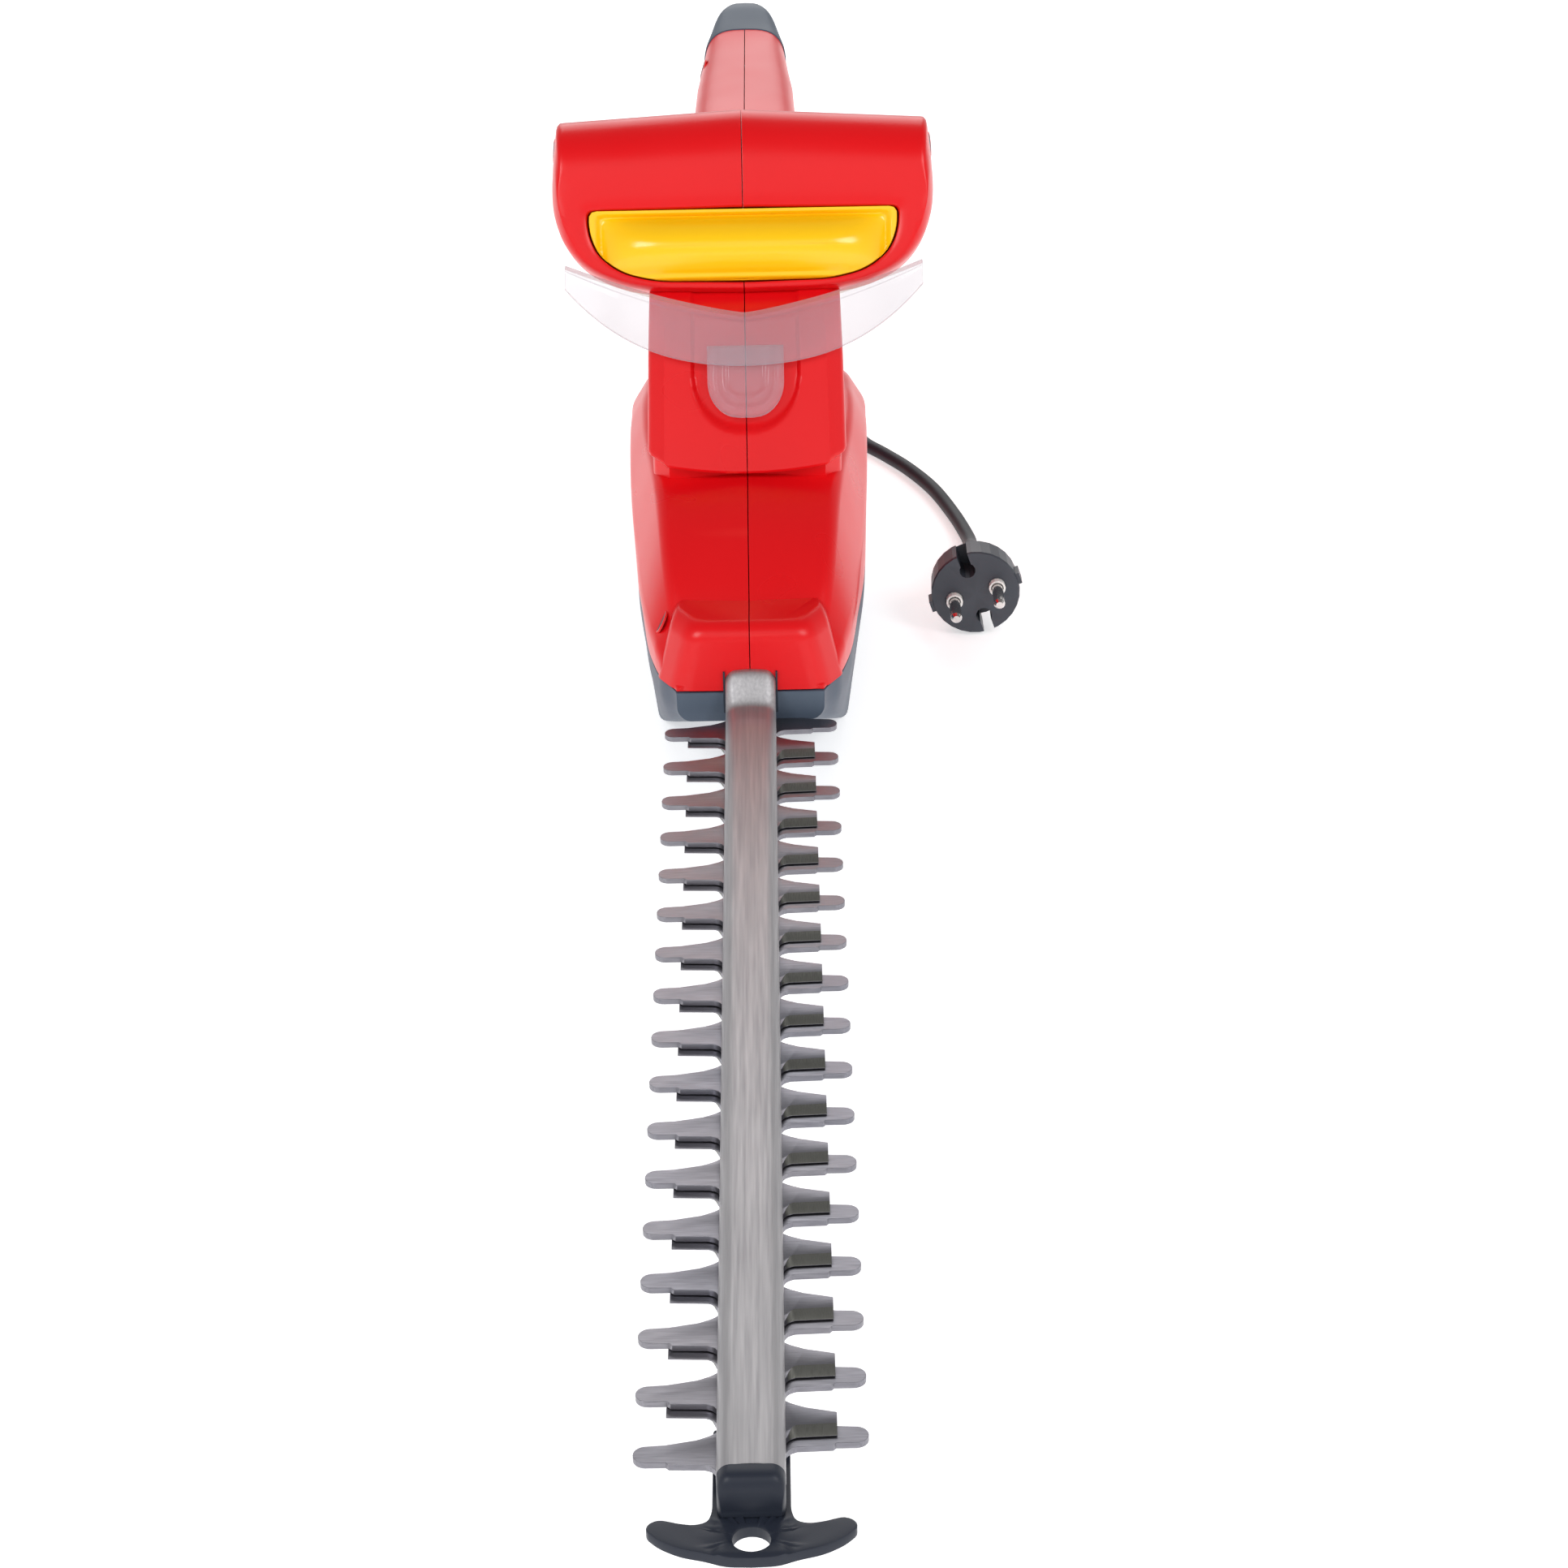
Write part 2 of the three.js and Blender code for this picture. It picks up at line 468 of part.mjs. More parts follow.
function bladePlate(longSide, shift, z0) {
  const longs = Array.from({ length: LONG_TEETH }, (_, i) => longTooth(cutterY(i)));
  const shorts = Array.from({ length: SHORT_TEETH }, (_, i) => shortTooth(cutterY(i) + TOOTH_PITCH / 2));
  const yoke = windowX + YOKE_RIM;
  const yokeFront = gearY - windowY - YOKE_RIM;
  const yokeRear = gearY + windowY + YOKE_RIM;
  const outline = [
    [SPINE_HALF - 2, bladeTip], ...longs.flat(), [SPINE_HALF, yokeFront - 6], [yoke - 3, yokeFront],
    [yoke, yokeFront + 3], [yoke, yokeRear - 3], [yoke - 3, yokeRear], [3 - yoke, yokeRear],
    [-yoke, yokeRear - 3], [-yoke, yokeFront + 3], [3 - yoke, yokeFront], [-SPINE_HALF, yokeFront - 6],
    ...shorts.flat().map(([x, y]) => [-x, y]).reverse(), [2 - SPINE_HALF, bladeTip],
  ];
  const sign = longSide;
  const placed = outline.map(([x, y]) => [sign * x, y + shift]);
  const shape = shapeOf(sign > 0 ? placed : placed.reverse());
  for (let i = 0; i < BOLT_COUNT; i += 1) {
    const slot = new THREE.Path();
    const y = boltY(i) + shift;
    slot.absarc(0, y + slotLength - BOLT_RADIUS, BOLT_RADIUS + 0.4, 0, Math.PI);
    slot.absarc(0, y - slotLength + BOLT_RADIUS, BOLT_RADIUS + 0.4, Math.PI, 2 * Math.PI);
    slot.closePath();
    shape.holes.push(new THREE.Path(slot.getPoints(3).slice(0, -1)));
  }
  const window = [[-windowX, -windowY], [windowX, -windowY], [windowX, windowY], [-windowX, windowY]];
  shape.holes.push(new THREE.Path(window.map(([x, y]) => new THREE.Vector2(x, gearY + shift + y))));
  return plan(shape, z0, z0 + BLADE_THICKNESS);
}
add('upper_blade', bladePlate(-1, -REST_STAGGER, BLADE_TOP - BLADE_THICKNESS), STEEL, 0.3, 1);
add('lower_blade', bladePlate(1, REST_STAGGER, blade2Bottom), STEEL, 0.3, 1);

// ---- Cover bar over the blades, with a hump where it enters the housing ----
const coverRear = BODY_FRONT + 24;
const coverShape = side([
  [coverTip, coverBottom], [coverRear, coverBottom], [coverRear, 68], [BODY_FRONT + 2, 68],
  [BODY_FRONT - 1, 66], [BODY_FRONT - 5, coverTop + 2.5], [BODY_FRONT - 11, coverTop], [coverTip, coverTop],
], -coverHalf, coverHalf);
const coverSection = front([
  [-coverHalf, 40], [coverHalf, 40], [coverHalf, coverTop - 3], [coverHalf - 1, coverTop - 1.2],
  [coverHalf - 3.2, coverTop], [coverHalf - 3.2, 80], [3.2 - coverHalf, 80], [3.2 - coverHalf, coverTop],
  [1 - coverHalf, coverTop - 1.2], [-coverHalf, coverTop - 3],
], coverTip - 1, BODY_FRONT - 12);
const humpSection = front([
  [-coverHalf, 40], [coverHalf, 40], [coverHalf, 64.5], [coverHalf - 3, 80], [3 - coverHalf, 80], [-coverHalf, 64.5],
], BODY_FRONT - 12, coverRear + 1);
const boltTop = coverBottom + 5;
let cover = coverShape.intersect(coverSection.add(humpSection));
const stripFront = boltY(0) - 14;
const stripBottom = stripTop - 2.4;
let strip = plan([
  [-coverHalf, stripFront], [coverHalf, stripFront], [coverHalf, BODY_FRONT + 24], [-coverHalf, BODY_FRONT + 24],
], stripBottom, stripTop);
for (let i = 0; i < BOLT_COUNT; i += 1) {
  const hole = disc(BOLT_RADIUS + GAP, stripBottom - 1, boltTop + GAP, 0, boltY(i), 16);
  cover = cover.subtract(hole);
  strip = strip.subtract(hole);
}
add('blade_cover_bar', cover, ALUMINIUM, 0.35, 0.9);
add('blade_backing_strip', strip, STEEL, 0.4, 1);
for (let i = 0; i < BOLT_COUNT; i += 1) {
  const head = stripBottom - GAP;
  add(`blade_bolt_${i + 1}`, turned([
    [0, head - 2.6], [4.4, head - 2.6], [5, head - 1.4], [5, head], [BOLT_RADIUS, head],
    [BOLT_RADIUS, boltTop], [0, boltTop],
  ], 0, boltY(i), 14), STEEL, 0.35, 1);
}

// ---- Black end cap of the cover bar and the tip guard under it ----
const capRear = coverTip - GAP;
const capFront = capRear - 7.3;
const rivetY = capRear - 3.8;
const RIVET_RADIUS = 1.6;
add('cover_end_cap', side([
  [capRear, stripTop + GAP], [capRear, coverTop + 0.4], [capRear - 4.6, coverTop], [capFront + 0.5, coverTop - 3],
  [capFront, coverBottom + 1], [capFront, stripTop + GAP],
], -coverHalf, coverHalf, 1).subtract(disc(RIVET_RADIUS + GAP, 40, coverBottom + 2 + GAP, 0, rivetY, 16)), BLACK, 0.35);
const TIP_GUARD_HALF = 28.6;
const STEM_HALF = 10.7;
const HANG_RADIUS = 5.2;
const guardRear = stripFront - GAP;
const earY = capFront - 0.4;
const tipY = capFront - 16.7;
const guardShape = shapeOf([
  [STEM_HALF, guardRear], [-STEM_HALF, guardRear], [-STEM_HALF, earY + 1], [-STEM_HALF - 2.5, earY - 1.2],
  [-STEM_HALF - 8, earY - 1.6], [3 - TIP_GUARD_HALF, earY - 0.4], [-TIP_GUARD_HALF + 0.6, earY - 1.6],
  [-TIP_GUARD_HALF, earY - 4], [4 - TIP_GUARD_HALF, earY - 8.4], [-STEM_HALF - 2, tipY + 2.6],
  [-STEM_HALF + 4, tipY], [STEM_HALF - 4, tipY], [STEM_HALF + 2, tipY + 2.6],
  [TIP_GUARD_HALF - 4, earY - 8.4], [TIP_GUARD_HALF, earY - 4], [TIP_GUARD_HALF - 0.6, earY - 1.6],
  [TIP_GUARD_HALF - 3, earY - 0.4], [STEM_HALF + 8, earY - 1.6], [STEM_HALF + 2.5, earY - 1.2],
  [STEM_HALF, earY + 1],
].reverse());
const hangY = capFront - 9.3;
const channelHalf = STEM_HALF - 1;
const guardBottom = stripBottom - 0.6;
const channel = plan([
  [-channelHalf + 4, tipY + 0.6], [channelHalf - 4, tipY + 0.6], [channelHalf, tipY + 3],
  [channelHalf, capFront - GAP], [-channelHalf, capFront - GAP], [-channelHalf, tipY + 3],
], stripTop - 0.5, stripTop + 0.8);
add('tip_guard', plan(guardShape, guardBottom, stripTop).add(channel)
  .subtract(disc(HANG_RADIUS, 30, 60, 0, hangY, 24))
  .subtract(disc(RIVET_RADIUS + GAP, 30, 60, 0, rivetY, 16)), BLACK, 0.4);
add('tip_guard_rivet', turned([
  [0, guardBottom - GAP - 1.2], [3.2, guardBottom - GAP - 1.2], [3.6, guardBottom - GAP],
  [RIVET_RADIUS, guardBottom - GAP], [RIVET_RADIUS, coverBottom + 2], [0, coverBottom + 2],
], 0, rivetY, 16), STEEL, 0.35, 1);

// ---- Gearbox: plate, fixed pin, gear with two opposed cams ----
const restTurn = -Math.asin(REST_STAGGER / BLADE_STROKE);
function cam(turn, z0, z1) {
  const x = BLADE_STROKE * Math.cos(turn);
  const y = gearY + BLADE_STROKE * Math.sin(turn);
  return disc(CAM_RADIUS, z0, z1, x, y, 28);
}
function gearOutline(teeth, radius, phase) {
  const points = [];
  const pitch = 2 * Math.PI / teeth;
  for (let i = 0; i < teeth; i += 1) {
    for (const [share, offset] of [[-0.32, -1.2], [-0.13, 0.9], [0.13, 0.9], [0.32, -1.2]]) {
      const turn = phase + (i + share) * pitch;
      const reach = radius + offset * GEAR_MODULE;
      points.push([reach * Math.cos(turn), reach * Math.sin(turn)]);
    }
  }
  return points;
}
const PIN_RADIUS = 4;
const gearPhase = Math.PI / 2 + Math.PI / GEAR_TEETH;
const gear = plan(gearOutline(GEAR_TEETH, gearRadius, gearPhase).map(([x, y]) => [x, y + gearY]), gearBottom, gearTop)
  .add(cam(restTurn, BLADE_TOP - BLADE_THICKNESS - 0.12, gearBottom + 1))
  .add(cam(restTurn + Math.PI, blade2Bottom, BLADE_TOP - BLADE_THICKNESS - 0.1))
  .subtract(disc(PIN_RADIUS + 0.05, gearBottom + 1.6, gearTop + 1, 0, gearY, 24));
add('drive_gear', gear, STEEL, 0.4, 1);
add('gear_pin', turned([
  [0, gearBottom + 2], [PIN_RADIUS, gearBottom + 2], [PIN_RADIUS, plateTop + GAP], [PIN_RADIUS + 3, plateTop + GAP],
  [PIN_RADIUS + 3, plateTop + 2.3], [0, plateTop + 2.3],
], 0, gearY), STEEL, 0.3, 1);
const plateHalf = 31;
add('gearbox_plate', plan([
  [-24, gearY - 32], [24, gearY - 32], [plateHalf, gearY - 6], [plateHalf, motorY + 26], [-plateHalf, motorY + 26],
  [-plateHalf, gearY - 6],
], plateBottom, plateTop)
  .subtract(disc(PIN_RADIUS + GAP, 50, 80, 0, gearY)).subtract(disc(SHAFT_RADIUS + 1, 50, 80, 0, motorY)),
ALUMINIUM, 0.5, 0.8);

// ---- Motor standing on the plate ----
add('lower_bearing', ring(SHAFT_RADIUS + 0.08, 9, plateTop + GAP, motorBottom - GAP, 0, motorY), STEEL, 0.3, 1);
add('motor_field_can', ring(MOTOR_RADIUS - 4.5, MOTOR_RADIUS, motorBottom, motorTop, 0, motorY, 32), STEEL, 0.5, 0.8);
const bracketTop = motorTop + GAP + 3;
add('motor_end_bracket', ring(9.3, MOTOR_RADIUS, motorTop + GAP, bracketTop, 0, motorY, 32), BLACK, 0.6);
add('upper_bearing', ring(SHAFT_RADIUS + 0.08, 9, motorTop + GAP, bracketTop, 0, motorY), STEEL, 0.3, 1);
add('motor_shaft', disc(SHAFT_RADIUS, gearBottom - 1, bracketTop + 2, 0, motorY), STEEL, 0.3, 1);
const bore = SHAFT_RADIUS + 0.1;
const pinionPhase = -Math.PI / 2;
add('motor_pinion', plan(gearOutline(PINION_TEETH, pinionRadius, pinionPhase).map(([x, y]) => [x, y + motorY]),
  gearBottom, gearTop).subtract(disc(bore, 40, 80, 0, motorY)), STEEL, 0.35, 1);
add('cooling_fan', ring(bore, MOTOR_RADIUS - 6, motorBottom + 1, motorBottom + 5, 0, motorY), BLACK, 0.5);
add('armature_core', ring(bore, MOTOR_RADIUS - 8, motorBottom + 7, motorBottom + 27, 0, motorY), COPPER, 0.5, 0.6);
const commutatorTop = motorTop - 3;
add('commutator', ring(bore, 9.5, commutatorTop - 10, commutatorTop, 0, motorY), COPPER, 0.3, 0.9);
for (const [name, sign] of [['left', -1], ['right', 1]]) {
  const inner = Math.min(sign * 10, sign * 18);
  const brush = box(inner, inner + 8, motorY - 3, motorY + 3, commutatorTop - 8, commutatorTop - 2);
  add(`carbon_brush_${name}`, brush, 0x2b2b2b, 0.7);
  const holderInner = Math.min(sign * 12, sign * 22);
  add(`brush_holder_${name}`, box(holderInner, holderInner + 10, motorY - 5, motorY + 5,
    commutatorTop - 10, commutatorTop - 0.2)
    .subtract(box(-30, 30, motorY - 3 - GAP, motorY + 3 + GAP, commutatorTop - 8 - GAP, commutatorTop - 2 + GAP)),
  0xb8975a, 0.4, 0.8);
}
add('suppression_capacitor', turnedAlongX([[0, -12], [7, -12], [7, 12], [0, 12]], motorY + 56, 70), 0x3a5a8c, 0.5);

// ---- Cord on the resting surface, and its moulded two-pin plug ----
add('cord_strain_relief', gland(0), BLACK, 0.6);
const REST = CORD_DIAMETER / 2 + 0.2;
const cordStart = GLAND_END.clone().addScaledVector(glandAim.normalize(), 3 * GAP);
const CORD_POINTS = [
  [-13.8, 447.6, 9.2], [-11.4, 460, 5.4], [0, 471, REST], [14.5, 475, REST], [29, 471, REST], [39.6, 460.5, REST],
  [43.5, 446, REST], [45, 430, REST], [45.5, 415, REST], [47.4, 399, REST], [53, 381, REST], [62, 367, REST],
  [72.6, 349, REST], [83, 325, REST], [91, 296, REST], [95.6, 271, 4.2], [96.2, 254, 7.6],
  [95.4, 239, 13.4], [94.7, 227, 18],
].map(([x, y, z]) => new THREE.Vector3(x, y, z));
const PLUG = { x: 94.5, y: 178, z: PLUG_RADIUS + 0.3 };
const PLUG_LENGTH = 38;
const cordEnd = new THREE.Vector3(PLUG.x, PLUG.y + PLUG_LENGTH + 3 * GAP, PLUG.z);
const cordPath = new THREE.CatmullRomCurve3([cordStart, ...CORD_POINTS, cordEnd], false, 'centripetal');
const cordSection = new THREE.Shape();
cordSection.absarc(0, 0, CORD_DIAMETER / 2, 0, 2 * Math.PI);
add('cord', solid(new THREE.ExtrudeGeometry(cordSection, { steps: 44, extrudePath: cordPath, curveSegments: 5 })),
  0x17181c, 0.6);

const PIN_SPACING = 19;
const PIN_LENGTH = 19;
const plugRoll = THREE.MathUtils.degToRad(-18.8);
function rolled(piece) {
  const turn = new THREE.Matrix4().makeTranslation(PLUG.x, 0, PLUG.z)
    .multiply(new THREE.Matrix4().makeRotationY(plugRoll));
  return piece.transform(turn.toArray());
}
let plug = solid(new THREE.LatheGeometry([
  [0, PLUG.y], [PLUG_RADIUS - 0.6, PLUG.y], [PLUG_RADIUS - 0.2, PLUG.y + 1], [PLUG_RADIUS - 0.6, PLUG.y + 13],
  [13, PLUG.y + 20], [7.5, PLUG.y + 27], [5, PLUG.y + PLUG_LENGTH], [0, PLUG.y + PLUG_LENGTH],
].map(([r, h]) => new THREE.Vector2(r, h)), 28));
plug = plug.add(box(-PLUG_RADIUS - 1, PLUG_RADIUS + 1, PLUG.y + 0.5, PLUG.y + 8, -2.5, 2.5));
for (const sign of [-1, 1]) {
  const mouth = sign * PLUG_RADIUS;
  plug = plug.subtract(box(-2.3, 2.3, PLUG.y - 1, PLUG.y + 15, Math.min(sign * 12, mouth * 1.2),
    Math.max(sign * 12, mouth * 1.2)));
  plug = plug.subtract(turnedAlongY([[0, PLUG.y - 1], [3.4, PLUG.y - 1], [3.4, PLUG.y + 15], [0, PLUG.y + 15]],
    0, sign * 11, 12));
}
const pinPieces = [];
for (const [name, sign] of [['left', -1], ['right', 1]]) {
  const x = sign * PIN_SPACING / 2;
  const pin = turnedAlongY([
    [0, PLUG.y - PIN_LENGTH], [1.5, PLUG.y - PIN_LENGTH], [2.4, PLUG.y - PIN_LENGTH + 1.5], [2.4, PLUG.y + 6],
    [0, PLUG.y + 6],
  ], x, 0, 14);
  const collar = turnedAlongY([
    [2.4 + GAP, PLUG.y - 2.5], [3.5, PLUG.y - 2.5], [3.5, PLUG.y + 1.5], [2.4 + GAP, PLUG.y + 1.5],
    [2.4 + GAP, PLUG.y - 2.5],
  ], x, 0, 14);
  plug = plug.subtract(turnedAlongY([
    [0, PLUG.y - 1], [3.5 + GAP, PLUG.y - 1], [3.5 + GAP, PLUG.y + 1.8], [2.4 + GAP, PLUG.y + 1.8],
    [2.4 + GAP, PLUG.y + 6.3], [0, PLUG.y + 6.3],
  ], x, 0, 14));
  pinPieces.push([`plug_pin_${name}`, pin, 0xb9b4ae, 0.3, 1], [`plug_collar_${name}`, collar, 0xf2f2ee, 0.5, 0]);
}
add('plug_body', rolled(plug), BLACK, 0.5);
for (const [name, piece, color, roughness, metalness] of pinPieces) {
  add(name, rolled(piece), color, roughness, metalness);
}

// The origin is the middle of the object's footprint.
group.position.y = -(tipY + HANDLE_END) / 2;

export default group;
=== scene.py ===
import json
import math

import bmesh
import bpy
import numpy as np
from bpy.props import FloatProperty, FloatVectorProperty, IntProperty, PointerProperty
from mathutils import Matrix, Vector


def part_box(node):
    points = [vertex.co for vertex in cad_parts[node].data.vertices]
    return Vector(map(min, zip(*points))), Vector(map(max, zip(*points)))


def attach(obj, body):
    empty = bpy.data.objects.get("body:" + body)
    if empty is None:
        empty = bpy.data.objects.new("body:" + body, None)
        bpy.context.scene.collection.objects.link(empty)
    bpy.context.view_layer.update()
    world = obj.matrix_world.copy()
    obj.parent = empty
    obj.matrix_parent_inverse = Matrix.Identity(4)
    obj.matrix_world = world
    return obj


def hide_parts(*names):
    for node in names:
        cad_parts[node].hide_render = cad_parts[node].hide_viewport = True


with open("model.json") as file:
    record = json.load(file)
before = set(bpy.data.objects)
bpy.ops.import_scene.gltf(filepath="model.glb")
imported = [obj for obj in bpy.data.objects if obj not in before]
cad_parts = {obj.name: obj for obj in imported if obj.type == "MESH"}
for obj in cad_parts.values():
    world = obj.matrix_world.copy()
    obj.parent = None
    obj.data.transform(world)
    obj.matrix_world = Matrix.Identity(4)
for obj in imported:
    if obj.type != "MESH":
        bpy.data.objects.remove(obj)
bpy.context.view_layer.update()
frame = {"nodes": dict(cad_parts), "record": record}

bl_info = {
    "name": "Hedge Trimmer",
    "version": (1, 0, 0),
    "blender": (4, 5, 0),
    "location": "View3D > Sidebar > Trimmer",
    "description": "Builds the visible surfaces, finishes, lights and camera of a corded hedge trimmer",
    "category": "Object",
}

# Sizes below are in millimetres. n is the distance behind the front of the grey base.
# The handle loop and the cord were drawn with that front at FRONT_AS_DRAWN.
MM = 0.001
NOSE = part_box("gear_base_cover")[0][1] / MM
FRONT_AS_DRAWN = 11.0
SEAM = 0.18  # half the parting gap between the two shells
POD_FOOT = (NOSE + 124.0, 172.0)
POD_LEAN = math.radians(65.0)
NECK_FOOT = (NOSE + 82.0, 118.0)
NECK_LEAN = 39.0 / 54.0
BODY_REAR = NOSE + 240.0
BLADE_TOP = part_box("upper_blade")[1][2] / MM
BLADE_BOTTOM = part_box("lower_blade")[0][2] / MM
COVER_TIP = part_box("blade_cover_bar")[0][1] / MM
COVER_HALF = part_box("blade_cover_bar")[1][0] / MM
COVER_TOP = BLADE_TOP + 8.3
TOOTH_PITCH = 27.0
LONG_TEETH = 17
LONG_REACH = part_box("lower_blade")[1][0] / MM
SHORT_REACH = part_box("upper_blade")[1][0] / MM
TIP_TO_TOOTH = 8.6  # from a blade's front end to the middle of its first long tooth
FIRST_LONG_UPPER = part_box("upper_blade")[0][1] / MM + TIP_TO_TOOTH
FIRST_LONG_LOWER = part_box("lower_blade")[0][1] / MM + TIP_TO_TOOTH
CAP_SHARE = (0.377, 0.501)  # where the grip cap starts and ends, as shares of the way round the loop


# ---------------------------------------------------------------- mesh arrays

def rounded(points, radius, steps=6, closed=False):
    """Polyline with each corner replaced by a quadratic arc: (1-t)^2 a + 2t(1-t) corner + t^2 b,
    where a and b stand back from the corner by radius, or by just under half the shorter side."""
    pts = np.asarray(points, float)
    before = np.roll(pts, 1, axis=0) - pts
    after = np.roll(pts, -1, axis=0) - pts
    length_a = np.linalg.norm(before, axis=1, keepdims=True) + 1e-9
    length_b = np.linalg.norm(after, axis=1, keepdims=True) + 1e-9
    back = np.minimum(np.broadcast_to(np.asarray(radius, float).reshape(-1, 1), length_a.shape),
                      0.48 * np.minimum(length_a, length_b))
    start = pts + before / length_a * back
    end = pts + after / length_b * back
    t = np.linspace(0.0, 1.0, steps)[None, :, None]
    arcs = (1 - t) ** 2 * start[:, None] + 2 * t * (1 - t) * pts[:, None] + t ** 2 * end[:, None]
    if closed:
        return arcs.reshape(-1, pts.shape[1])
    inner = arcs[1:-1].reshape(-1, pts.shape[1])
    return np.vstack([pts[:1], inner, pts[-1:]])


def evenly(points, count):
    """The polyline resampled at count places, equally spaced along its length."""
    pts = np.asarray(points, float)
    steps = np.linalg.norm(np.diff(pts, axis=0), axis=1)
    along = np.concatenate([[0.0], np.cumsum(steps)])
    at = np.linspace(0.0, along[-1], count)
    return np.stack([np.interp(at, along, pts[:, k]) for k in range(pts.shape[1])], axis=1)


def flowing(stations, at):
    """Cubic curve through rows of [place, values...]: Hermite blend with central-difference slopes."""
    table = np.asarray(stations, float)
    place, values = table[:, 0], table[:, 1:]
    slope = np.gradient(values, place, axis=0)
    i = np.clip(np.searchsorted(place, at) - 1, 0, len(place) - 2)
    width = (place[i + 1] - place[i])[:, None]
    t = ((at - place[i]) / width[:, 0])[:, None]
    h00, h10 = 2 * t ** 3 - 3 * t ** 2 + 1, t ** 3 - 2 * t ** 2 + t
    h01, h11 = 3 * t ** 2 - 2 * t ** 3, t ** 3 - t ** 2
    return h00 * values[i] + h10 * width * slope[i] + h01 * values[i + 1] + h11 * width * slope[i + 1]


def smoothstep(low, high, value):
    """0 below low, 1 above high, and 3t^2 - 2t^3 between."""
    t = np.clip((value - low) / (high - low), 0.0, 1.0)
    return t * t * (3 - 2 * t)


def quads(rows, columns, wrap_rows=False, wrap_columns=False):
    """Quad indices of a grid of rows by columns, joined round where asked."""
    r = np.arange(rows if wrap_rows else rows - 1)[:, None]
    c = np.arange(columns if wrap_columns else columns - 1)[None, :]
    r2, c2 = (r + 1) % rows, (c + 1) % columns
    a, b = r * columns + c, r * columns + c2
    d, e = r2 * columns + c2, r2 * columns + c
    return np.stack([a, b, d, e], axis=-1).reshape(-1, 4).tolist()


def closed_tube(grid):
    """Solid from a grid whose columns run round: a skin of quads and a flat cap at each end."""
    rows, columns = grid.shape[:2]
    faces = quads(rows, columns, wrap_columns=True)
    faces.append(list(range(columns))[::-1])
    faces.append(list(range((rows - 1) * columns, rows * columns)))
    return grid.reshape(-1, 3), faces


def box_solid(x0, x1, y0, y1, z0, z1):
    """A box as a tube of two square rings."""
    square = np.array([[x0, y0], [x1, y0], [x1, y1], [x0, y1]])
    return closed_tube(np.array([np.column_stack([square, np.full(4, z)]) for z in (z0, z1)]))


def half_solid(grid):
    """Solid from a grid whose rows start and end on the seam plane: skin, two ends and a flat seam face."""
    rows, columns = grid.shape[:2]
    faces = quads(rows, columns)
    faces.append(list(range(columns))[::-1])
    faces.append(list(range((rows - 1) * columns, rows * columns)))
    first = (np.arange(rows) * columns).tolist()
    last = (np.arange(rows) * columns + columns - 1).tolist()
    faces.append(first + last[::-1])
    return grid.reshape(-1, 3), faces


def half_ring(grid):
    """Solid from a grid whose rows start and end on the seam plane and follow each other round a loop."""
    rows, columns = grid.shape[:2]
    faces = quads(rows, columns, wrap_rows=True)
    first = np.arange(rows) * columns
    after = (np.arange(rows) + 1) % rows * columns
    band = np.stack([first, after, after + columns - 1, first + columns - 1], axis=-1)
    return grid.reshape(-1, 3), faces + band.tolist()


def mirrored(part):
    """The same solid on the other side of the mid-plane, its faces turned to point out."""
    points, faces = part
    return points * np.array([-1.0, 1.0, 1.0]), [face[::-1] for face in faces]


def joined(parts):
    """Several solids in one list of points and faces."""
    points, faces, start = [], [], 0
    for part_points, part_faces in parts:
        points.append(part_points)
        faces.extend([[i + start for i in face] for face in part_faces])
        start += len(part_points)
    return np.vstack(points), faces


def make(name, part, material, body, stands_for=(), bevel=0.0):
    """A finished piece at the origin: mesh from millimetres, outward normals, finish and body; the parts it
    stands for are hidden.
    """
    points, faces = part
    mesh = bpy.data.meshes.new(name)
    mesh.from_pydata((points * MM).tolist(), [], faces)
    mesh.validate()
    outward(mesh)
    mesh.shade_smooth()
    mesh.set_sharp_from_angle(angle=math.radians(38.0))
    mesh.materials.append(material)
    piece = bpy.data.objects.new(name, mesh)
    bpy.context.scene.collection.objects.link(piece)
    if bevel:
        soften = piece.modifiers.new("Edges", "BEVEL")
        soften.width = bevel * MM
        soften.segments = 2
        soften.limit_method = "ANGLE"
        soften.angle_limit = math.radians(50)
        soften.harden_normals = True
    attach(piece, body)
    if stands_for:
        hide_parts(*stands_for)
    return piece


def outward(mesh):
    """Merge doubles and recalculate the normals of the closed mesh so that they point out."""
    work = bmesh.new()
    work.from_mesh(mesh)
    bmesh.ops.remove_doubles(work, verts=work.verts, dist=1e-6)
    bmesh.ops.recalc_face_normals(work, faces=work.faces)
    work.to_mesh(mesh)
    work.free()


# ---------------------------------------------------------------- finishes

def new_material(name):
    """An empty node material: returns it with its nodes, links and shader."""
    material = bpy.data.materials.new(name)
    material.use_nodes = True
    nodes = material.node_tree.nodes
    shader = nodes["Principled BSDF"]
    return material, nodes, material.node_tree.links, shader


def noise(nodes, links, scale, detail=4.0, stretch=(1.0, 1.0, 1.0)):
    """Noise on Object coordinates, stretched along the axes."""
    place = nodes.new("ShaderNodeTexCoord")
    turn = nodes.new("ShaderNodeMapping")
    turn.inputs["Scale"].default_value = stretch
    texture = nodes.new("ShaderNodeTexNoise")
    texture.inputs["Scale"].default_value = scale
    texture.inputs["Detail"].default_value = detail
    links.new(place.outputs["Object"], turn.inputs["Vector"])
    links.new(turn.outputs["Vector"], texture.inputs["Vector"])
    return texture.outputs["Fac"]


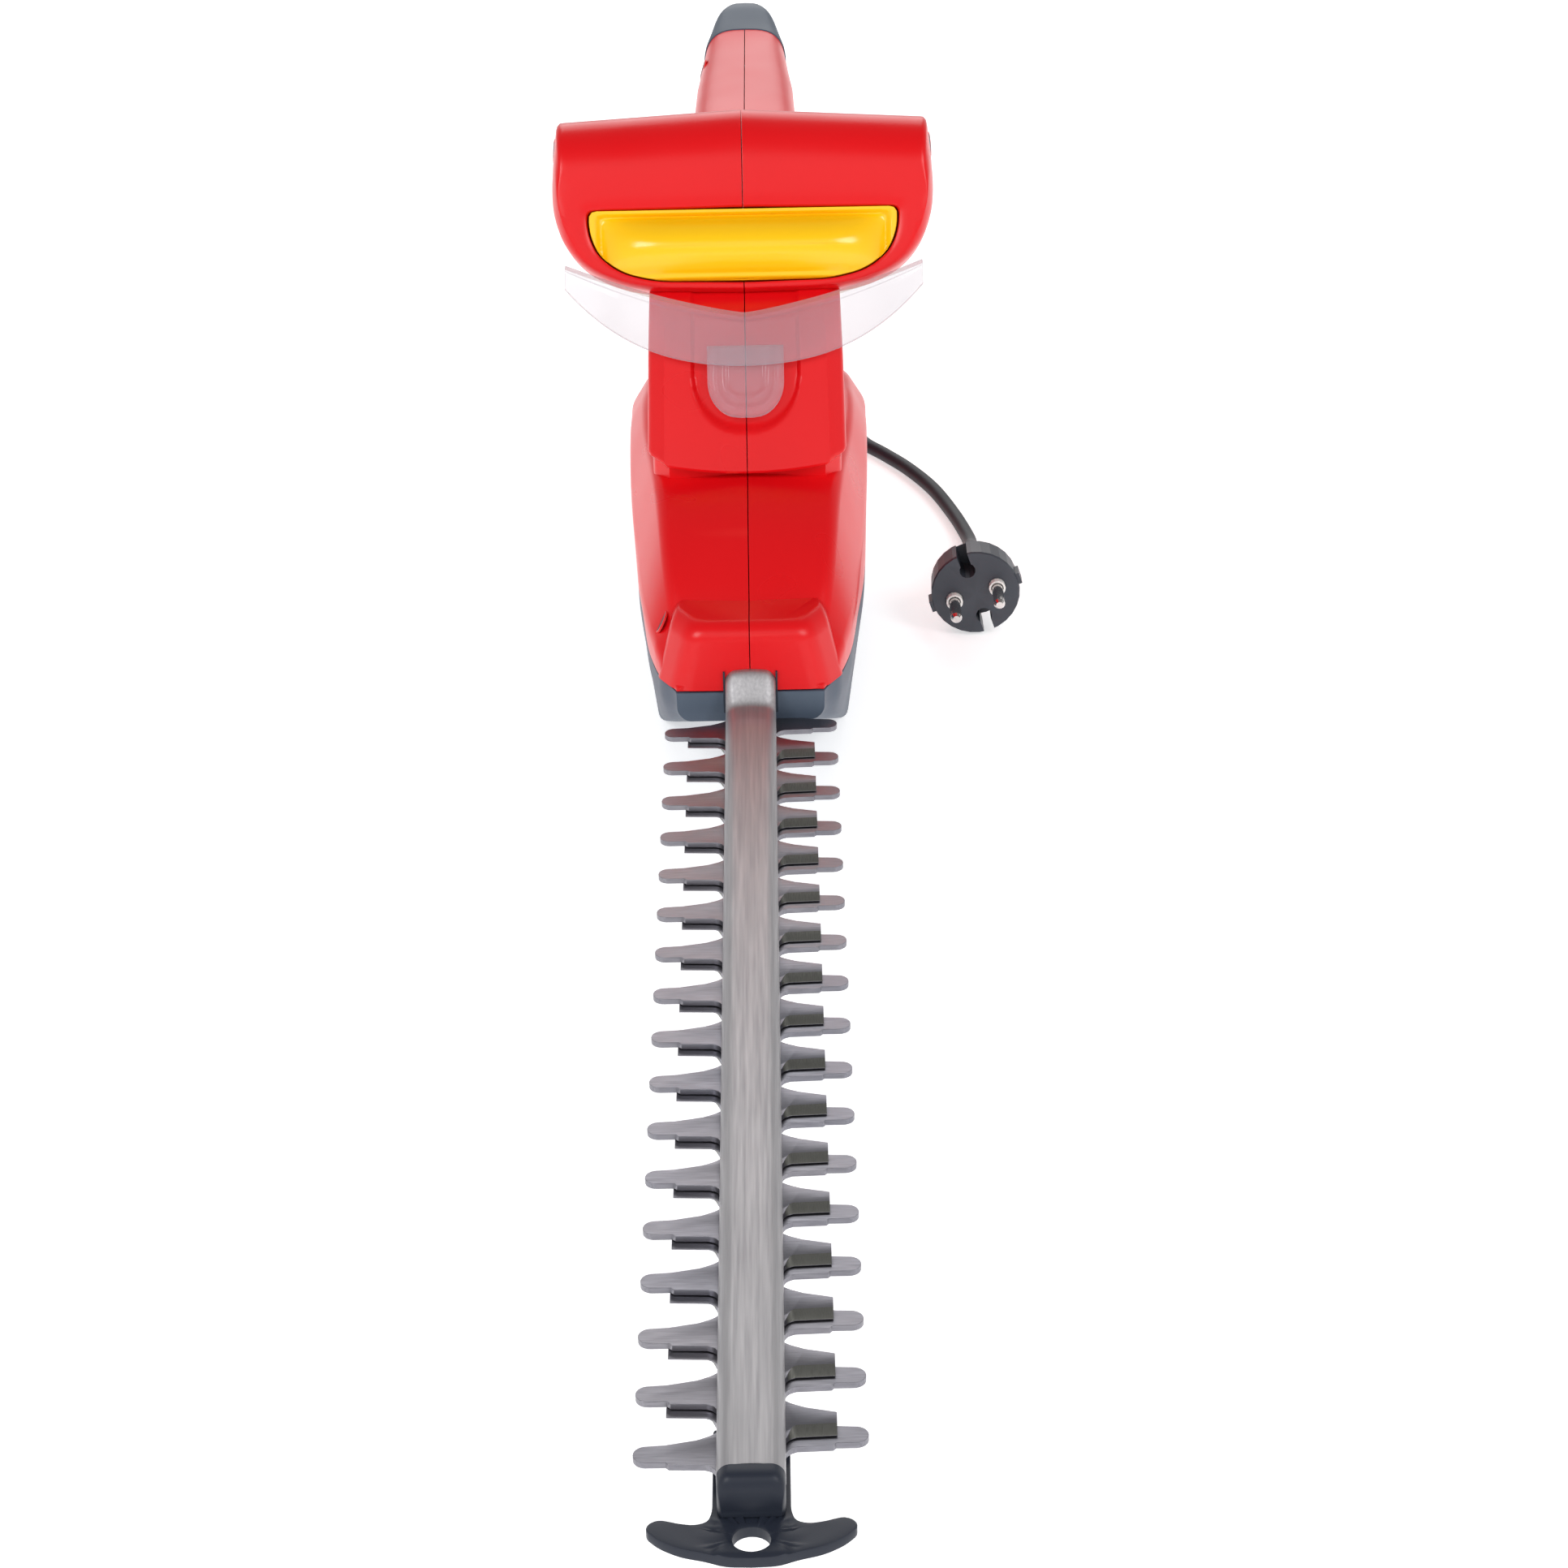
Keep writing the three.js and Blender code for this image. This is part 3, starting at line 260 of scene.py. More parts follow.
def ranged(nodes, links, value, low, high, start=0.3, end=0.7):
    """The value spread from low to high."""
    spread = nodes.new("ShaderNodeMapRange")
    spread.inputs["From Min"].default_value = start
    spread.inputs["From Max"].default_value = end
    spread.inputs["To Min"].default_value = low
    spread.inputs["To Max"].default_value = high
    links.new(value, spread.inputs["Value"])
    return spread.outputs["Result"]


def mixed(nodes, links, factor, first, second):
    """A colour that goes from first to second with the factor."""
    mix = nodes.new("ShaderNodeMix")
    mix.data_type = "RGBA"
    mix.inputs["A"].default_value = (*first, 1.0)
    mix.inputs["B"].default_value = (*second, 1.0)
    links.new(factor, mix.inputs["Factor"])
    return mix.outputs["Result"]


def bumped(nodes, links, shader, value, strength, distance):
    """Bump from a value, on the shader's normal."""
    bump = nodes.new("ShaderNodeBump")
    bump.inputs["Strength"].default_value = strength
    bump.inputs["Distance"].default_value = distance
    links.new(value, bump.inputs["Height"])
    links.new(bump.outputs["Normal"], shader.inputs["Normal"])


def edge_light(nodes, links, low=0.54, high=0.68):
    """Pointiness of the mesh as a mask of the convex edges that get a painted highlight."""
    geometry = nodes.new("ShaderNodeNewGeometry")
    return ranged(nodes, links, geometry.outputs["Pointiness"], 0.0, 1.0, low, high)


def plastic(name, colour, edge_highlight, roughness=(0.28, 0.4), grain=2600.0, strength=0.12, gloss=0.5):
    """Moulded plastic: mottled roughness, a fine spark-eroded grain and a painted highlight that makes the
    edges slightly paler.
    """
    material, nodes, links, shader = new_material(name)
    cloud = noise(nodes, links, 14.0, 1.0)
    tone = mixed(nodes, links, ranged(nodes, links, cloud, 0.0, 1.0, 0.15, 0.85), colour,
                 tuple(min(1.0, c * 1.09) for c in colour))
    # Painted highlight: convex edges are mixed towards a paler colour.
    edge_highlight_mix = nodes.new("ShaderNodeMix")
    edge_highlight_mix.data_type = "RGBA"
    edge_highlight_mix.inputs["B"].default_value = (*edge_highlight, 1.0)
    links.new(tone, edge_highlight_mix.inputs["A"])
    links.new(ranged(nodes, links, edge_light(nodes, links), 0.0, 0.35, 0.0, 1.0), edge_highlight_mix.inputs["Factor"])
    links.new(edge_highlight_mix.outputs["Result"], shader.inputs["Base Color"])
    links.new(ranged(nodes, links, noise(nodes, links, 30.0, 1.0), *roughness, 0.15, 0.85),
              shader.inputs["Roughness"])
    bumped(nodes, links, shader, noise(nodes, links, grain, 2.0), strength, 0.00008)
    shader.inputs["Specular IOR Level"].default_value = gloss
    return material


def brushed(name, colour, stretch, roughness=(0.22, 0.42), strength=0.35, scale=900.0, tint=None):
    """Brushed metal: grain lines stretched along one axis, with a slow drift of colour."""
    material, nodes, links, shader = new_material(name)
    lines = noise(nodes, links, scale, 3.0, stretch)
    drift = ranged(nodes, links, noise(nodes, links, 14.0), 0.0, 1.0)
    tone = mixed(nodes, links, drift, colour, tint or tuple(c * 0.82 for c in colour))
    streak = nodes.new("ShaderNodeMix")
    streak.data_type = "RGBA"
    streak.blend_type = "MULTIPLY"
    streak.inputs["B"].default_value = (0.7, 0.7, 0.72, 1.0)
    links.new(tone, streak.inputs["A"])
    links.new(ranged(nodes, links, lines, 0.0, 0.6), streak.inputs["Factor"])
    links.new(streak.outputs["Result"], shader.inputs["Base Color"])
    links.new(ranged(nodes, links, lines, *roughness), shader.inputs["Roughness"])
    bumped(nodes, links, shader, lines, strength, 0.00004)
    shader.inputs["Metallic"].default_value = 1.0
    return material


def clear_plastic(name):
    """Clear moulded plastic: see-through with a faint grey veil that thickens where the wall is seen
    edge-on, and slow flow waves from the mould."""
    material, nodes, links, shader = new_material(name)
    tone = mixed(nodes, links, ranged(nodes, links, noise(nodes, links, 25.0), 0.0, 1.0),
                 (0.55, 0.47, 0.53), (0.49, 0.42, 0.47))
    links.new(tone, shader.inputs["Base Color"])
    links.new(ranged(nodes, links, noise(nodes, links, 60.0), 0.06, 0.14), shader.inputs["Roughness"])
    bumped(nodes, links, shader, noise(nodes, links, 45.0, 1.0), 0.25, 0.0004)
    wall = nodes.new("ShaderNodeLayerWeight")
    wall.inputs["Blend"].default_value = 0.35
    links.new(ranged(nodes, links, wall.outputs["Facing"], 0.24, 0.9, 0.2, 1.0), shader.inputs["Alpha"])
    shader.inputs["Specular IOR Level"].default_value = 1.0
    shader.inputs["IOR"].default_value = 1.49
    return material


FINISHES = {}


def finish_materials(settings):
    """All finishes, made once and kept by name."""
    red = tuple(settings.red)
    # The second colour given to each plastic is the paler colour of its painted edge highlight.
    FINISHES.update({
        "housing_red": plastic("Housing Red", red, (0.85, 0.04, 0.03), (0.25, 0.34), 2600.0, 0.03, 0.34),
        "switch_yellow": plastic("Switch Yellow", tuple(settings.yellow), (1.0, 0.66, 0.1), (0.16, 0.24)),
        "base_grey": plastic("Base Grey", tuple(settings.grey), (0.14, 0.18, 0.23), (0.4, 0.52),
                             strength=0.25, gloss=0.4),
        "guard_black": plastic("Guard Black", tuple(settings.black), (0.05, 0.06, 0.08), (0.32, 0.45),
                               gloss=0.3),
        "cord_black": plastic("Cord Sheath", (0.009, 0.012, 0.019), (0.03, 0.03, 0.035), (0.42, 0.55),
                              gloss=0.3),
        "plug_black": plastic("Plug Black", (0.034, 0.04, 0.053), (0.08, 0.09, 0.11), (0.36, 0.5),
                              strength=0.3),
        "collar_white": plastic("Collar White", (0.85, 0.85, 0.82), (0.9, 0.9, 0.88)),
        "capacitor_blue": plastic("Capacitor Blue", (0.05, 0.12, 0.3), (0.1, 0.2, 0.4)),
        "brush_carbon": plastic("Carbon", (0.03, 0.03, 0.03), (0.06, 0.06, 0.06), (0.6, 0.8)),
        "guard_clear": clear_plastic("Guard Clear"),
        "blade_steel": brushed("Blade Steel", (0.29, 0.28, 0.3), (0.12, 4.0, 1.0), (0.3, 0.45),
                               tint=(0.24, 0.24, 0.27)),
        "ground_edge": brushed("Ground Edge", (0.22, 0.22, 0.2), (3.0, 0.3, 1.0), (0.4, 0.6), 0.8),
        "cover_aluminium": brushed("Cover Aluminium", (0.5, 0.49, 0.5), (1.0, 0.03, 1.0), (0.5, 0.58), 0.08,
                                   tint=(0.47, 0.46, 0.47)),
        "screw_steel": brushed("Screw Steel", (0.5, 0.5, 0.52), (1.0, 1.0, 1.0)),
        "gear_steel": brushed("Gear Steel", (0.45, 0.45, 0.47), (1.0, 1.0, 0.2)),
        "copper": brushed("Copper", (0.72, 0.3, 0.16), (1.0, 1.0, 4.0)),
        "brass": brushed("Brass", (0.7, 0.5, 0.22), (1.0, 1.0, 1.0)),
        "pin_metal": brushed("Pin Metal", (0.75, 0.72, 0.7), (1.0, 1.0, 1.0), (0.12, 0.22), 0.1),
    })


# ---------------------------------------------------------------- housing shapes

BODY_STATIONS = [
    # n, joint half-width, joint height, outer half-width, outer height, panel half-width, panel height
    [1.0, 28.2, 58.4, 27.6, 59.6, 24.6, 60.6], [5.0, 30.0, 58.4, 29.4, 61.0, 25.4, 63.6],
    [13.0, 34.4, 58.4, 34.0, 65.0, 26.6, 71.0], [20.0, 36.0, 57.6, 36.6, 68.0, 28.0, 78.4],
    [30.0, 37.8, 56.6, 39.0, 70.5, 30.0, 86.4], [84.0, 43.0, 51.0, 45.0, 80.0, 36.2, 109.0],
    [120.0, 46.0, 47.0, 47.6, 90.0, 40.0, 110.5],
    [150.0, 47.5, 44.0, 48.6, 97.0, 42.0, 111.0], [180.0, 48.2, 41.0, 48.9, 97.0, 42.0, 110.0],
    [214.0, 47.5, 34.0, 48.0, 90.0, 39.0, 104.0], [232.0, 43.0, 29.0, 43.5, 80.0, 34.0, 93.0],
    [239.5, 36.0, 27.0, 36.5, 66.0, 28.0, 78.0],
]


def body_half():
    """Loft along n of a faceted half section: joint line, outer edge, panel edge, crowned top centre."""
    at = np.concatenate([np.linspace(1.0, 30.0, 22), np.linspace(34.0, 239.5, 60)])
    table = np.array(BODY_STATIONS)
    straight = np.stack([np.interp(at, table[:, 0], column) for column in table[:, 1:].T], axis=1)
    values = np.where(at[:, None] <= 30.0, straight, flowing(BODY_STATIONS, at))
    rows = []
    for n, (wc, zc, wo, zo, wp, zp) in zip(at, values):
        crown = np.interp(n, [1.0, 13.0, 60.0, 84.0, 120.0], [1.0, 1.2, 2.4, 3.0, 1.6])
        outline = np.array([[SEAM, zc], [wc, zc], [wo, zo], [wp, zp], [SEAM, zp + crown]])
        curve = rounded(outline, [1, 0.8, 3.0, 4.0, 1], 7)
        rows.append(np.stack([curve[:, 0], np.full(len(curve), NOSE + n), curve[:, 1]], axis=1))
    return half_solid(np.array(rows))


def base_solid():
    """Loft along n of the grey base: flat underside, flared sides, up to the joint line."""
    at = np.concatenate([np.linspace(0.0, 30.0, 16), np.linspace(34.0, 228.0, 40)])
    top = flowing([row[:3] for row in BODY_STATIONS], np.clip(at, 1.0, 239.0))
    low = flowing([[0, 46, 24.5], [14, 39.5, 31], [50, 21, 35], [89, 1.0, 38], [96, 0.05, 38.5],
                   [160, 0.0, 41], [210, 0.0, 40], [229, 0.0, 34]], at)
    low[:, 0] = np.where(at < 89.0, 46.0 - at * 0.506, np.maximum(low[:, 0], 0.0))
    rows = []
    for n, (wc, zc), (zb, wb) in zip(at, top, low):
        outline = np.array([[0, zb], [wb, zb], [wc - 0.25, zc - 9.0], [wc - 0.1, zc - 0.4], [0, zc - 0.4]])
        curve = rounded(outline, [1, 4.0, 3.0, 0.5, 1], 6)
        whole = np.vstack([curve, curve[1:-1][::-1] * np.array([-1.0, 1.0])])
        rows.append(np.stack([whole[:, 0], np.full(len(whole), NOSE + n), whole[:, 1]], axis=1))
    return closed_tube(np.array(rows))


def bulge_half():
    """Loft along z of the blunt nose over the gearbox: a plan outline with drawn-back corners, whose sides
    lean in as it rises and whose front rolls over the top as one minus the root of one minus t squared."""
    rows = []
    for t in np.sin(np.linspace(0.0, 1.0, 40) * math.pi / 2):
        z = 58.7 + 25.6 * t
        top = max(0.0, (t - 0.74) / 0.26)
        roll = 1.0 - math.sqrt(max(0.0, 1.0 - top ** 2))
        face = 0.1 + 2.6 * t + 6.6 * roll
        half = 35.2 - 6.2 * t - 2.4 * roll
        outline = np.array([[SEAM, NOSE + face], [half - 7.2, NOSE + face + 0.3], [half, NOSE + face + 12.6],
                            [half - 0.6, NOSE + 27.0], [SEAM, NOSE + 29.0]])
        curve = rounded(outline, [1, 6.0, 2.0, 2.0, 1], 9)
        rows.append(np.stack([curve[:, 0], curve[:, 1], np.full(len(curve), z)], axis=1))
    return half_solid(np.array(rows))


def neck_face(z):
    """Distance along y of the neck's leaning front at height z."""
    return NECK_FOOT[0] + (z - NECK_FOOT[1]) * NECK_LEAN


def pocket_depth(x, z, half=21.5, foot=127.5):
    """Depth of the U-shaped pocket behind the guard's tab: signed distance to the U, stepped smoothly."""
    radius = half * 0.86
    dx = np.abs(x) - (half - radius)
    dz = np.maximum(0.0, foot + radius - z)
    outside = np.hypot(np.maximum(dx, 0.0), dz) - radius
    return 2.4 * (1.0 - smoothstep(-1.6, 0.0, outside))


def neck_half():
    """Loft along z of a half section with chamfered corners; the front leans back and holds the U pocket."""
    heights = np.concatenate([[96.0, 108.0, 109.5, 116.2, 117.4, 118.4], np.linspace(119.5, 178.0, 70)])
    rows = []
    for z in heights:
        front = neck_face(z)
        if z < 118.0:
            front = NECK_FOOT[0] + np.interp(z, [96.0, 108.0, 116.2, 117.4, 118.0], [3.6, 3.2, 2.4, 0.6, 0.0])
        half = np.interp(z, [96.0, 117.0, 119.0, 150.0, 172.0, 187.0], [36.8, 37.2, 39.0, 38.4, 37.6, 36.0])
        draw = 9.0 * smoothstep(163.0, 174.0, z)
        chamfer = 6.5
        x = np.linspace(SEAM, half - chamfer, 44)
        y = front + draw + pocket_depth(x, z) - 0.5 * (1.0 - (x / half) ** 2)
        rear = BODY_REAR - 34.0 - draw
        corner = np.array([[half - chamfer, front + draw], [half, front + draw + chamfer],
                           [half, rear - 12.0], [half - 12.0, rear], [SEAM, rear]])
        rest = rounded(corner, [1, 2.5, 8.0, 8.0, 1], 6)[1:]
        curve = np.vstack([np.stack([x, y], axis=1), rest])
        dip = smoothstep(116.0, 117.4, z) * (1 - smoothstep(119.0, 128.0, z))
        across = np.clip(1.0 - (curve[:, 0] / 39.0) ** 2, 0.0, 1.0)
        dip = 3.6 * dip * across * (curve[:, 1] < front + draw + 3.0)
        rows.append(np.stack([curve[:, 0], curve[:, 1] - dip * NECK_LEAN, z - dip], axis=1))
    return half_solid(np.array(rows))


def in_pod(points):
    """Points given as across, up the pod's plane and out of its front, in the row frame."""
    up = np.array([0.0, math.cos(POD_LEAN), math.sin(POD_LEAN)])
    out = np.array([0.0, -math.sin(POD_LEAN), math.cos(POD_LEAN)])
    origin = np.array([0.0, POD_FOOT[0], POD_FOOT[1]])
    side = np.array([1.0, 0.0, 0.0])
    return origin + points[..., :1] * side + points[..., 1:2] * up + points[..., 2:3] * out


POD_OUTLINE = [[0, 0.2], [34, 0.9], [50, 4], [63, 10.5], [71, 20], [75, 32], [75.8, 42], [75, 56],
               [73.6, 68.2], [72.6, 69.8], [0, 73.9]]
LEVER_OUTLINE = [[0, 4.8], [34, 5.0], [48, 8.5], [57, 15.5], [60.6, 24], [60.9, 33.0], [40, 33.0], [0, 33.0]]
LEVER_GAP = 0.7


def pod_half():
    """Rings from the back cap over the rounded rim to the lever's pocket: each ring blends the pod's
    D outline towards the front plateau as 1 - cos, while its depth falls as 1 - sin. The plateau is low
    and the roll deep at the top, so the top is a bar with flat ends."""
    count = 120
    outer = evenly(rounded(POD_OUTLINE, [1, 8, 9, 9, 9, 9, 9, 6, 1.2, 1.2, 1], 7), count)
    hole = evenly(rounded(LEVER_OUTLINE, [1, 8, 8, 8, 6, 3.2, 6, 1], 7), count)
    away = hole - np.array([0.0, 19.0])
    hole = np.array([0.0, 19.0]) + away * (1 + LEVER_GAP / np.linalg.norm(away, axis=1, keepdims=True))
    inset = 7.5 - 5.0 * smoothstep(20.0, 58.0, outer[:, 1])
    plateau = np.stack([outer[:, 0] * (1.0 - inset / 76.0), 2.2 + 0.646 * outer[:, 1]], axis=1)
    roll = (7.0 + 13.0 * smoothstep(12.0, 62.0, outer[:, 1]))[:, None]
    back = outer + (np.array([0.0, 36.0]) - outer) * 0.16
    rings = []
    for turn in np.linspace(0.0, 90.0, 9):
        a = math.radians(turn)
        flat = back + (outer - back) * math.sin(a)
        rings.append(np.hstack([flat, np.full((count, 1), -36.0 + 10.0 * (1 - math.cos(a)))]))
    for turn in np.linspace(0.0, 90.0, 15):
        a = math.radians(turn)
        flat = outer + (plateau - outer) * (1 - math.cos(a))
        rings.append(np.hstack([flat, -roll * (1 - math.sin(a))]))
    for share, depth in [(0.3, 0.0), (0.6, -0.05), (0.86, -0.25), (0.96, -0.6), (1.0, -1.4), (1.0, -9.0),
                         (1.0, -22.0)]:
        flat = plateau + (hole - plateau) * share
        rings.append(np.hstack([flat, np.full((count, 1), depth)]))
    grid = np.array(rings)
    grid[:, 0, 0] = SEAM
    grid[:, -1, 0] = SEAM
    grid[..., 0] = np.maximum(grid[..., 0], SEAM)
    return half_solid(in_pod(grid))


LOOP_OUTER = [[176, 118], [176, 178], [201, 185], [440, 186.2], [467, 191.2], [477, 189.2], [480.6, 178],
              [479.6, 150], [441, 60], [419, 14], [407, 4], [391, 0.2], [221, 0.2], [190, 30]]
LOOP_INNER = [[262, 60], [262, 150], [270, 158], [425, 158], [437, 152], [441, 138], [420, 88], [405, 44],
              [396, 36], [393, 34], [385, 34], [272, 34], [262, 44]]


def loop_half(start=0.0, end=1.0, grow=0.0, rows=150):
    """Sweep round the rear handle: each half section is a superellipse arc from the hand hole's edge to
    the outer edge, with a half-width that tapers towards the rear."""
    shift = np.array([NOSE - FRONT_AS_DRAWN, 0.0])
    outer = rounded(LOOP_OUTER, [8, 10, 12, 14, 7, 5, 6, 12, 20, 12, 10, 12, 10, 20], 9, closed=True) + shift
    inner = rounded(LOOP_INNER, [14, 12, 10, 12, 8, 12, 20, 12, 8, 6, 6, 12, 10], 9, closed=True) + shift
    outer = evenly(np.vstack([outer, outer[:1]]), 1200)
    share = np.linspace(start, end, rows, endpoint=(end - start < 1.0))
    outer = np.stack([np.interp(share, np.linspace(0, 1, 1200), outer[:, k]) for k in range(2)], axis=1)
    ring = np.vstack([inner, inner[:1]])
    gap = np.linalg.norm(outer[:, None] - ring[None], axis=2)
    nearest = ring[np.argmin(gap, axis=1)]
    kernel = np.ones(7) / 7.0
    if end - start >= 1.0:
        padded = np.vstack([nearest[-3:], nearest, nearest[:3]])
    else:
        padded = np.vstack([nearest[:1]] * 3 + [nearest] + [nearest[-1:]] * 3)
    nearest = np.stack([np.convolve(padded[:, k], kernel, "valid") for k in range(2)], axis=1)
    behind = outer[:, 0] - shift[0]
    half = np.interp(behind, [176, 300, 422, 445, 468, 481], [25.5, 24.4, 19.4, 18.4, 15.0, 10.5]) + grow
    t = np.linspace(0.0, math.pi, 25)
    across = np.abs(np.sin(t)) ** 0.62
    towards = 0.5 - 0.5 * np.sign(np.cos(t)) * np.abs(np.cos(t)) ** 0.8
    towards = np.clip(towards, 0.0, 1.0)
    aim = outer - nearest
    reach = np.linalg.norm(aim, axis=1, keepdims=True)
    aim = aim / reach
    low, high = nearest - aim * grow, outer + aim * grow
    flat = low[:, None] + (high - low)[:, None] * towards[None, :, None]
    x = np.maximum(half[:, None] * across[None], SEAM)
    return np.dstack([x, flat[..., 0], flat[..., 1]])


def well(centre, normal, radius):
    """A moulded rim and a black disc of painted shade in the mouth of a screw hole: circles of the profile's
    radii and heights round the normal. Returns the rim, which closes on itself, and the shade disc."""
    normal = np.asarray(normal, float) / np.linalg.norm(normal)
    level = np.cross(normal, [0.0, 1.0, 0.0])
    level /= np.linalg.norm(level)
    rise = np.cross(normal, level)
    turn = np.linspace(0.0, 2 * math.pi, 40, endpoint=False)[:, None]
    circle = level * np.cos(turn) + rise * np.sin(turn)

    def rings(profile):
        return np.array([np.asarray(centre) + circle * r + normal * h for r, h in profile])

    rim = rings([(radius + 0.8, -0.6), (radius + 0.7, 0.02), (radius + 0.4, 0.16), (radius + 0.1, 0.16),
                 (radius - 0.1, -0.1), (radius - 0.1, -0.6)])
    # Painted shade: a flat black disc, just proud of the surface, stands for the dark inside of the hole.
    shade_disc = rings([(radius - 0.05, -0.5), (radius - 0.05, 0.05), (radius * 0.6, 0.03), (0.3, 0.02)])
    return (rim.reshape(-1, 3), quads(*rim.shape[:2], wrap_rows=True, wrap_columns=True)), closed_tube(shade_disc)


# ---------------------------------------------------------------- switch, guard, blades

def lever_relief(x, s):
    """Height of the switch bar's face: flat rim, recess under the top edge, long bulging belly."""
    edge = np.abs(x) / 56.0
    belly = np.clip(1.0 - edge ** 5, 0.0, 1.0) * np.sin(np.pi * np.clip((s - 5.2) / 25.0, 0.0, 1.0)) ** 0.65
    recess = (1 - smoothstep(30.0, 31.8, s)) * (1 - smoothstep(56.0, 58.5, np.abs(x)))
    return -0.8 - 2.4 * recess * smoothstep(5.4, 8.0, s) + 11.4 * belly


def lever_solid():
    """Rings from the back of the wall to the middle of the face, lifted by the relief."""
    right = evenly(rounded(LEVER_OUTLINE, [1, 8, 8, 8, 6, 3.2, 6, 1], 7), 70)
    outline = np.vstack([right, right[1:-1][::-1] * np.array([-1.0, 1.0])])
    middle = np.stack([np.clip(outline[:, 0], -42.0, 42.0), np.full(len(outline), 18.0)], axis=1)
    rings = [np.hstack([outline, np.full((len(outline), 1), depth)]) for depth in (-14.0, -6.0, -1.6)]
    for share in np.concatenate([[0.012, 0.03], np.linspace(0.06, 0.96, 34), [0.985, 0.998]]):
        flat = outline + (middle - outline) * share
        rings.append(np.hstack([flat, lever_relief(flat[:, 0], flat[:, 1])[:, None]]))
    return closed_tube(in_pod(np.array(rings)))


GUARD_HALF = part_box("hand_guard")[1][0] / MM


def guard_top(x):
    """Height of the guard's upper edge, rising to its tips."""
    return 167.0 + 15.0 * (np.abs(x) / GUARD_HALF) ** 1.25


def guard_low(x):
    """Height of the guard's lower edge."""
    return np.minimum(150.2 + 0.0034 * x ** 2 + 3e-7 * x ** 4, guard_top(x) - 2.2)


def guard_y(x, z):
    """Distance along y of the guard's front, parallel to the neck and swept back at the tips."""
    return neck_face(z) - 4.4 + 5.0 * np.maximum(0.0, (np.abs(x) - 30.0) / (GUARD_HALF - 30.0)) ** 1.5


def guard_shield():
    """Closed plate over x and height: the front grid, then the back grid, joined round the edge."""
    x = GUARD_HALF * np.sin(np.linspace(-1.0, 1.0, 91) * math.pi / 2.2) / math.sin(math.pi / 2.2)
    share = np.linspace(0.0, 1.0, 15)
    z = guard_low(x)[None] + (guard_top(x) - guard_low(x))[None] * share[:, None]
    xs = np.broadcast_to(x, z.shape)
    lip = 2.2 * smoothstep(0.84, 0.95, share)[:, None]
    front = np.dstack([xs, guard_y(xs, z) - lip - 0.4, z])
    back = np.dstack([xs, guard_y(xs, z) + 1.6 + lip * 0.4, z])
    return closed_tube(np.concatenate([front, back[::-1]]).transpose(1, 0, 2))


def guard_tab():
    """Closed U-shaped tongue whose front carries concentric ribs: sine of the distance to the U's edge."""
    rows = []
    foot, half = 133.2, 15.0
    for z in np.linspace(foot, 156.0, 60):
        inner = half - 3.0
        drop = max(0.0, foot + inner - z)
        width = 3.0 + math.sqrt(max(inner ** 2 - drop ** 2, 0.0))
        x = np.linspace(-width, width, 61)
        edge = inner - np.hypot(np.maximum(np.abs(x) - 3.0, 0.0), drop)
        ribs = 0.8 * np.clip(np.cos(edge * 2.0 * math.pi / 3.6), 0.0, 1.0) * smoothstep(-0.3, 0.6, edge)
        ribs = ribs * (1 - smoothstep(9.0, 10.0, edge))
        y = neck_face(z)
        front = np.stack([x, y - 3.6 - ribs, np.full(61, z)], axis=1)
        back = np.stack([x[::-1], np.full(61, y - 1.4), np.full(61, z)], axis=1)
        rows.append(np.vstack([front, back]))
    return closed_tube(np.array(rows))


def tooth_outline(reach, near, far, square):
    """Half a tooth gap to half a tooth gap along one side of a blade: root fillets, flanks and the tip,
    as [across, along]. near and far are the flank's half-widths at the tip."""
    spine = COVER_HALF - 0.5
    gap = TOOTH_PITCH / 2.0
    root = np.array([[spine, -gap + 3.6], [spine, -8.9], [spine + 1.4, -6.0], [spine + 3.6, -5.0]])
    back = np.array([[spine + 6.2, far + 2.3], [spine + 2.2, far + 4.2], [spine + 0.2, 9.6],
                     [spine, gap - 3.6]])
    if square:
        tip = np.array([[reach, -near], [reach, far]])
        return np.vstack([rounded(root, 2.0, 4), tip, rounded(back, 3.0, 5)])
    turn = np.radians(np.linspace(-78.0, 78.0, 13))
    middle, radius = (far - near) / 2.0, (far + near) / 2.0
    shoulder = np.array([[SHORT_REACH - 1.2, -near - 1.0], [SHORT_REACH - 0.4, -near],
                         [reach - radius, -near]])
    arc = np.stack([reach - radius + radius * np.cos(turn), middle + radius * np.sin(turn)], axis=1)
    flank = np.array([[reach - radius, far], [SHORT_REACH, far + 0.35]])
    return np.vstack([rounded(root, 2.0, 4), shoulder, arc, flank, rounded(back, 3.0, 5)])


def comb(reach, near, far, square, count, first, ground=0.0):
    """One side of a blade: the tooth repeated along it, as [across, along]. Ground draws back the near
    flank."""
    tooth = tooth_outline(reach, near, far, square)
    flank = smoothstep(COVER_HALF + 0.2, COVER_HALF + 2.4, tooth[:, 0]) * (tooth[:, 1] < 0.0)
    tooth[:, 1] += ground * flank
    shift = first + TOOTH_PITCH * np.arange(count)
    run = np.repeat(tooth[None], count, axis=0)
    run[..., 1] += shift[:, None]
    return run.reshape(-1, 2)


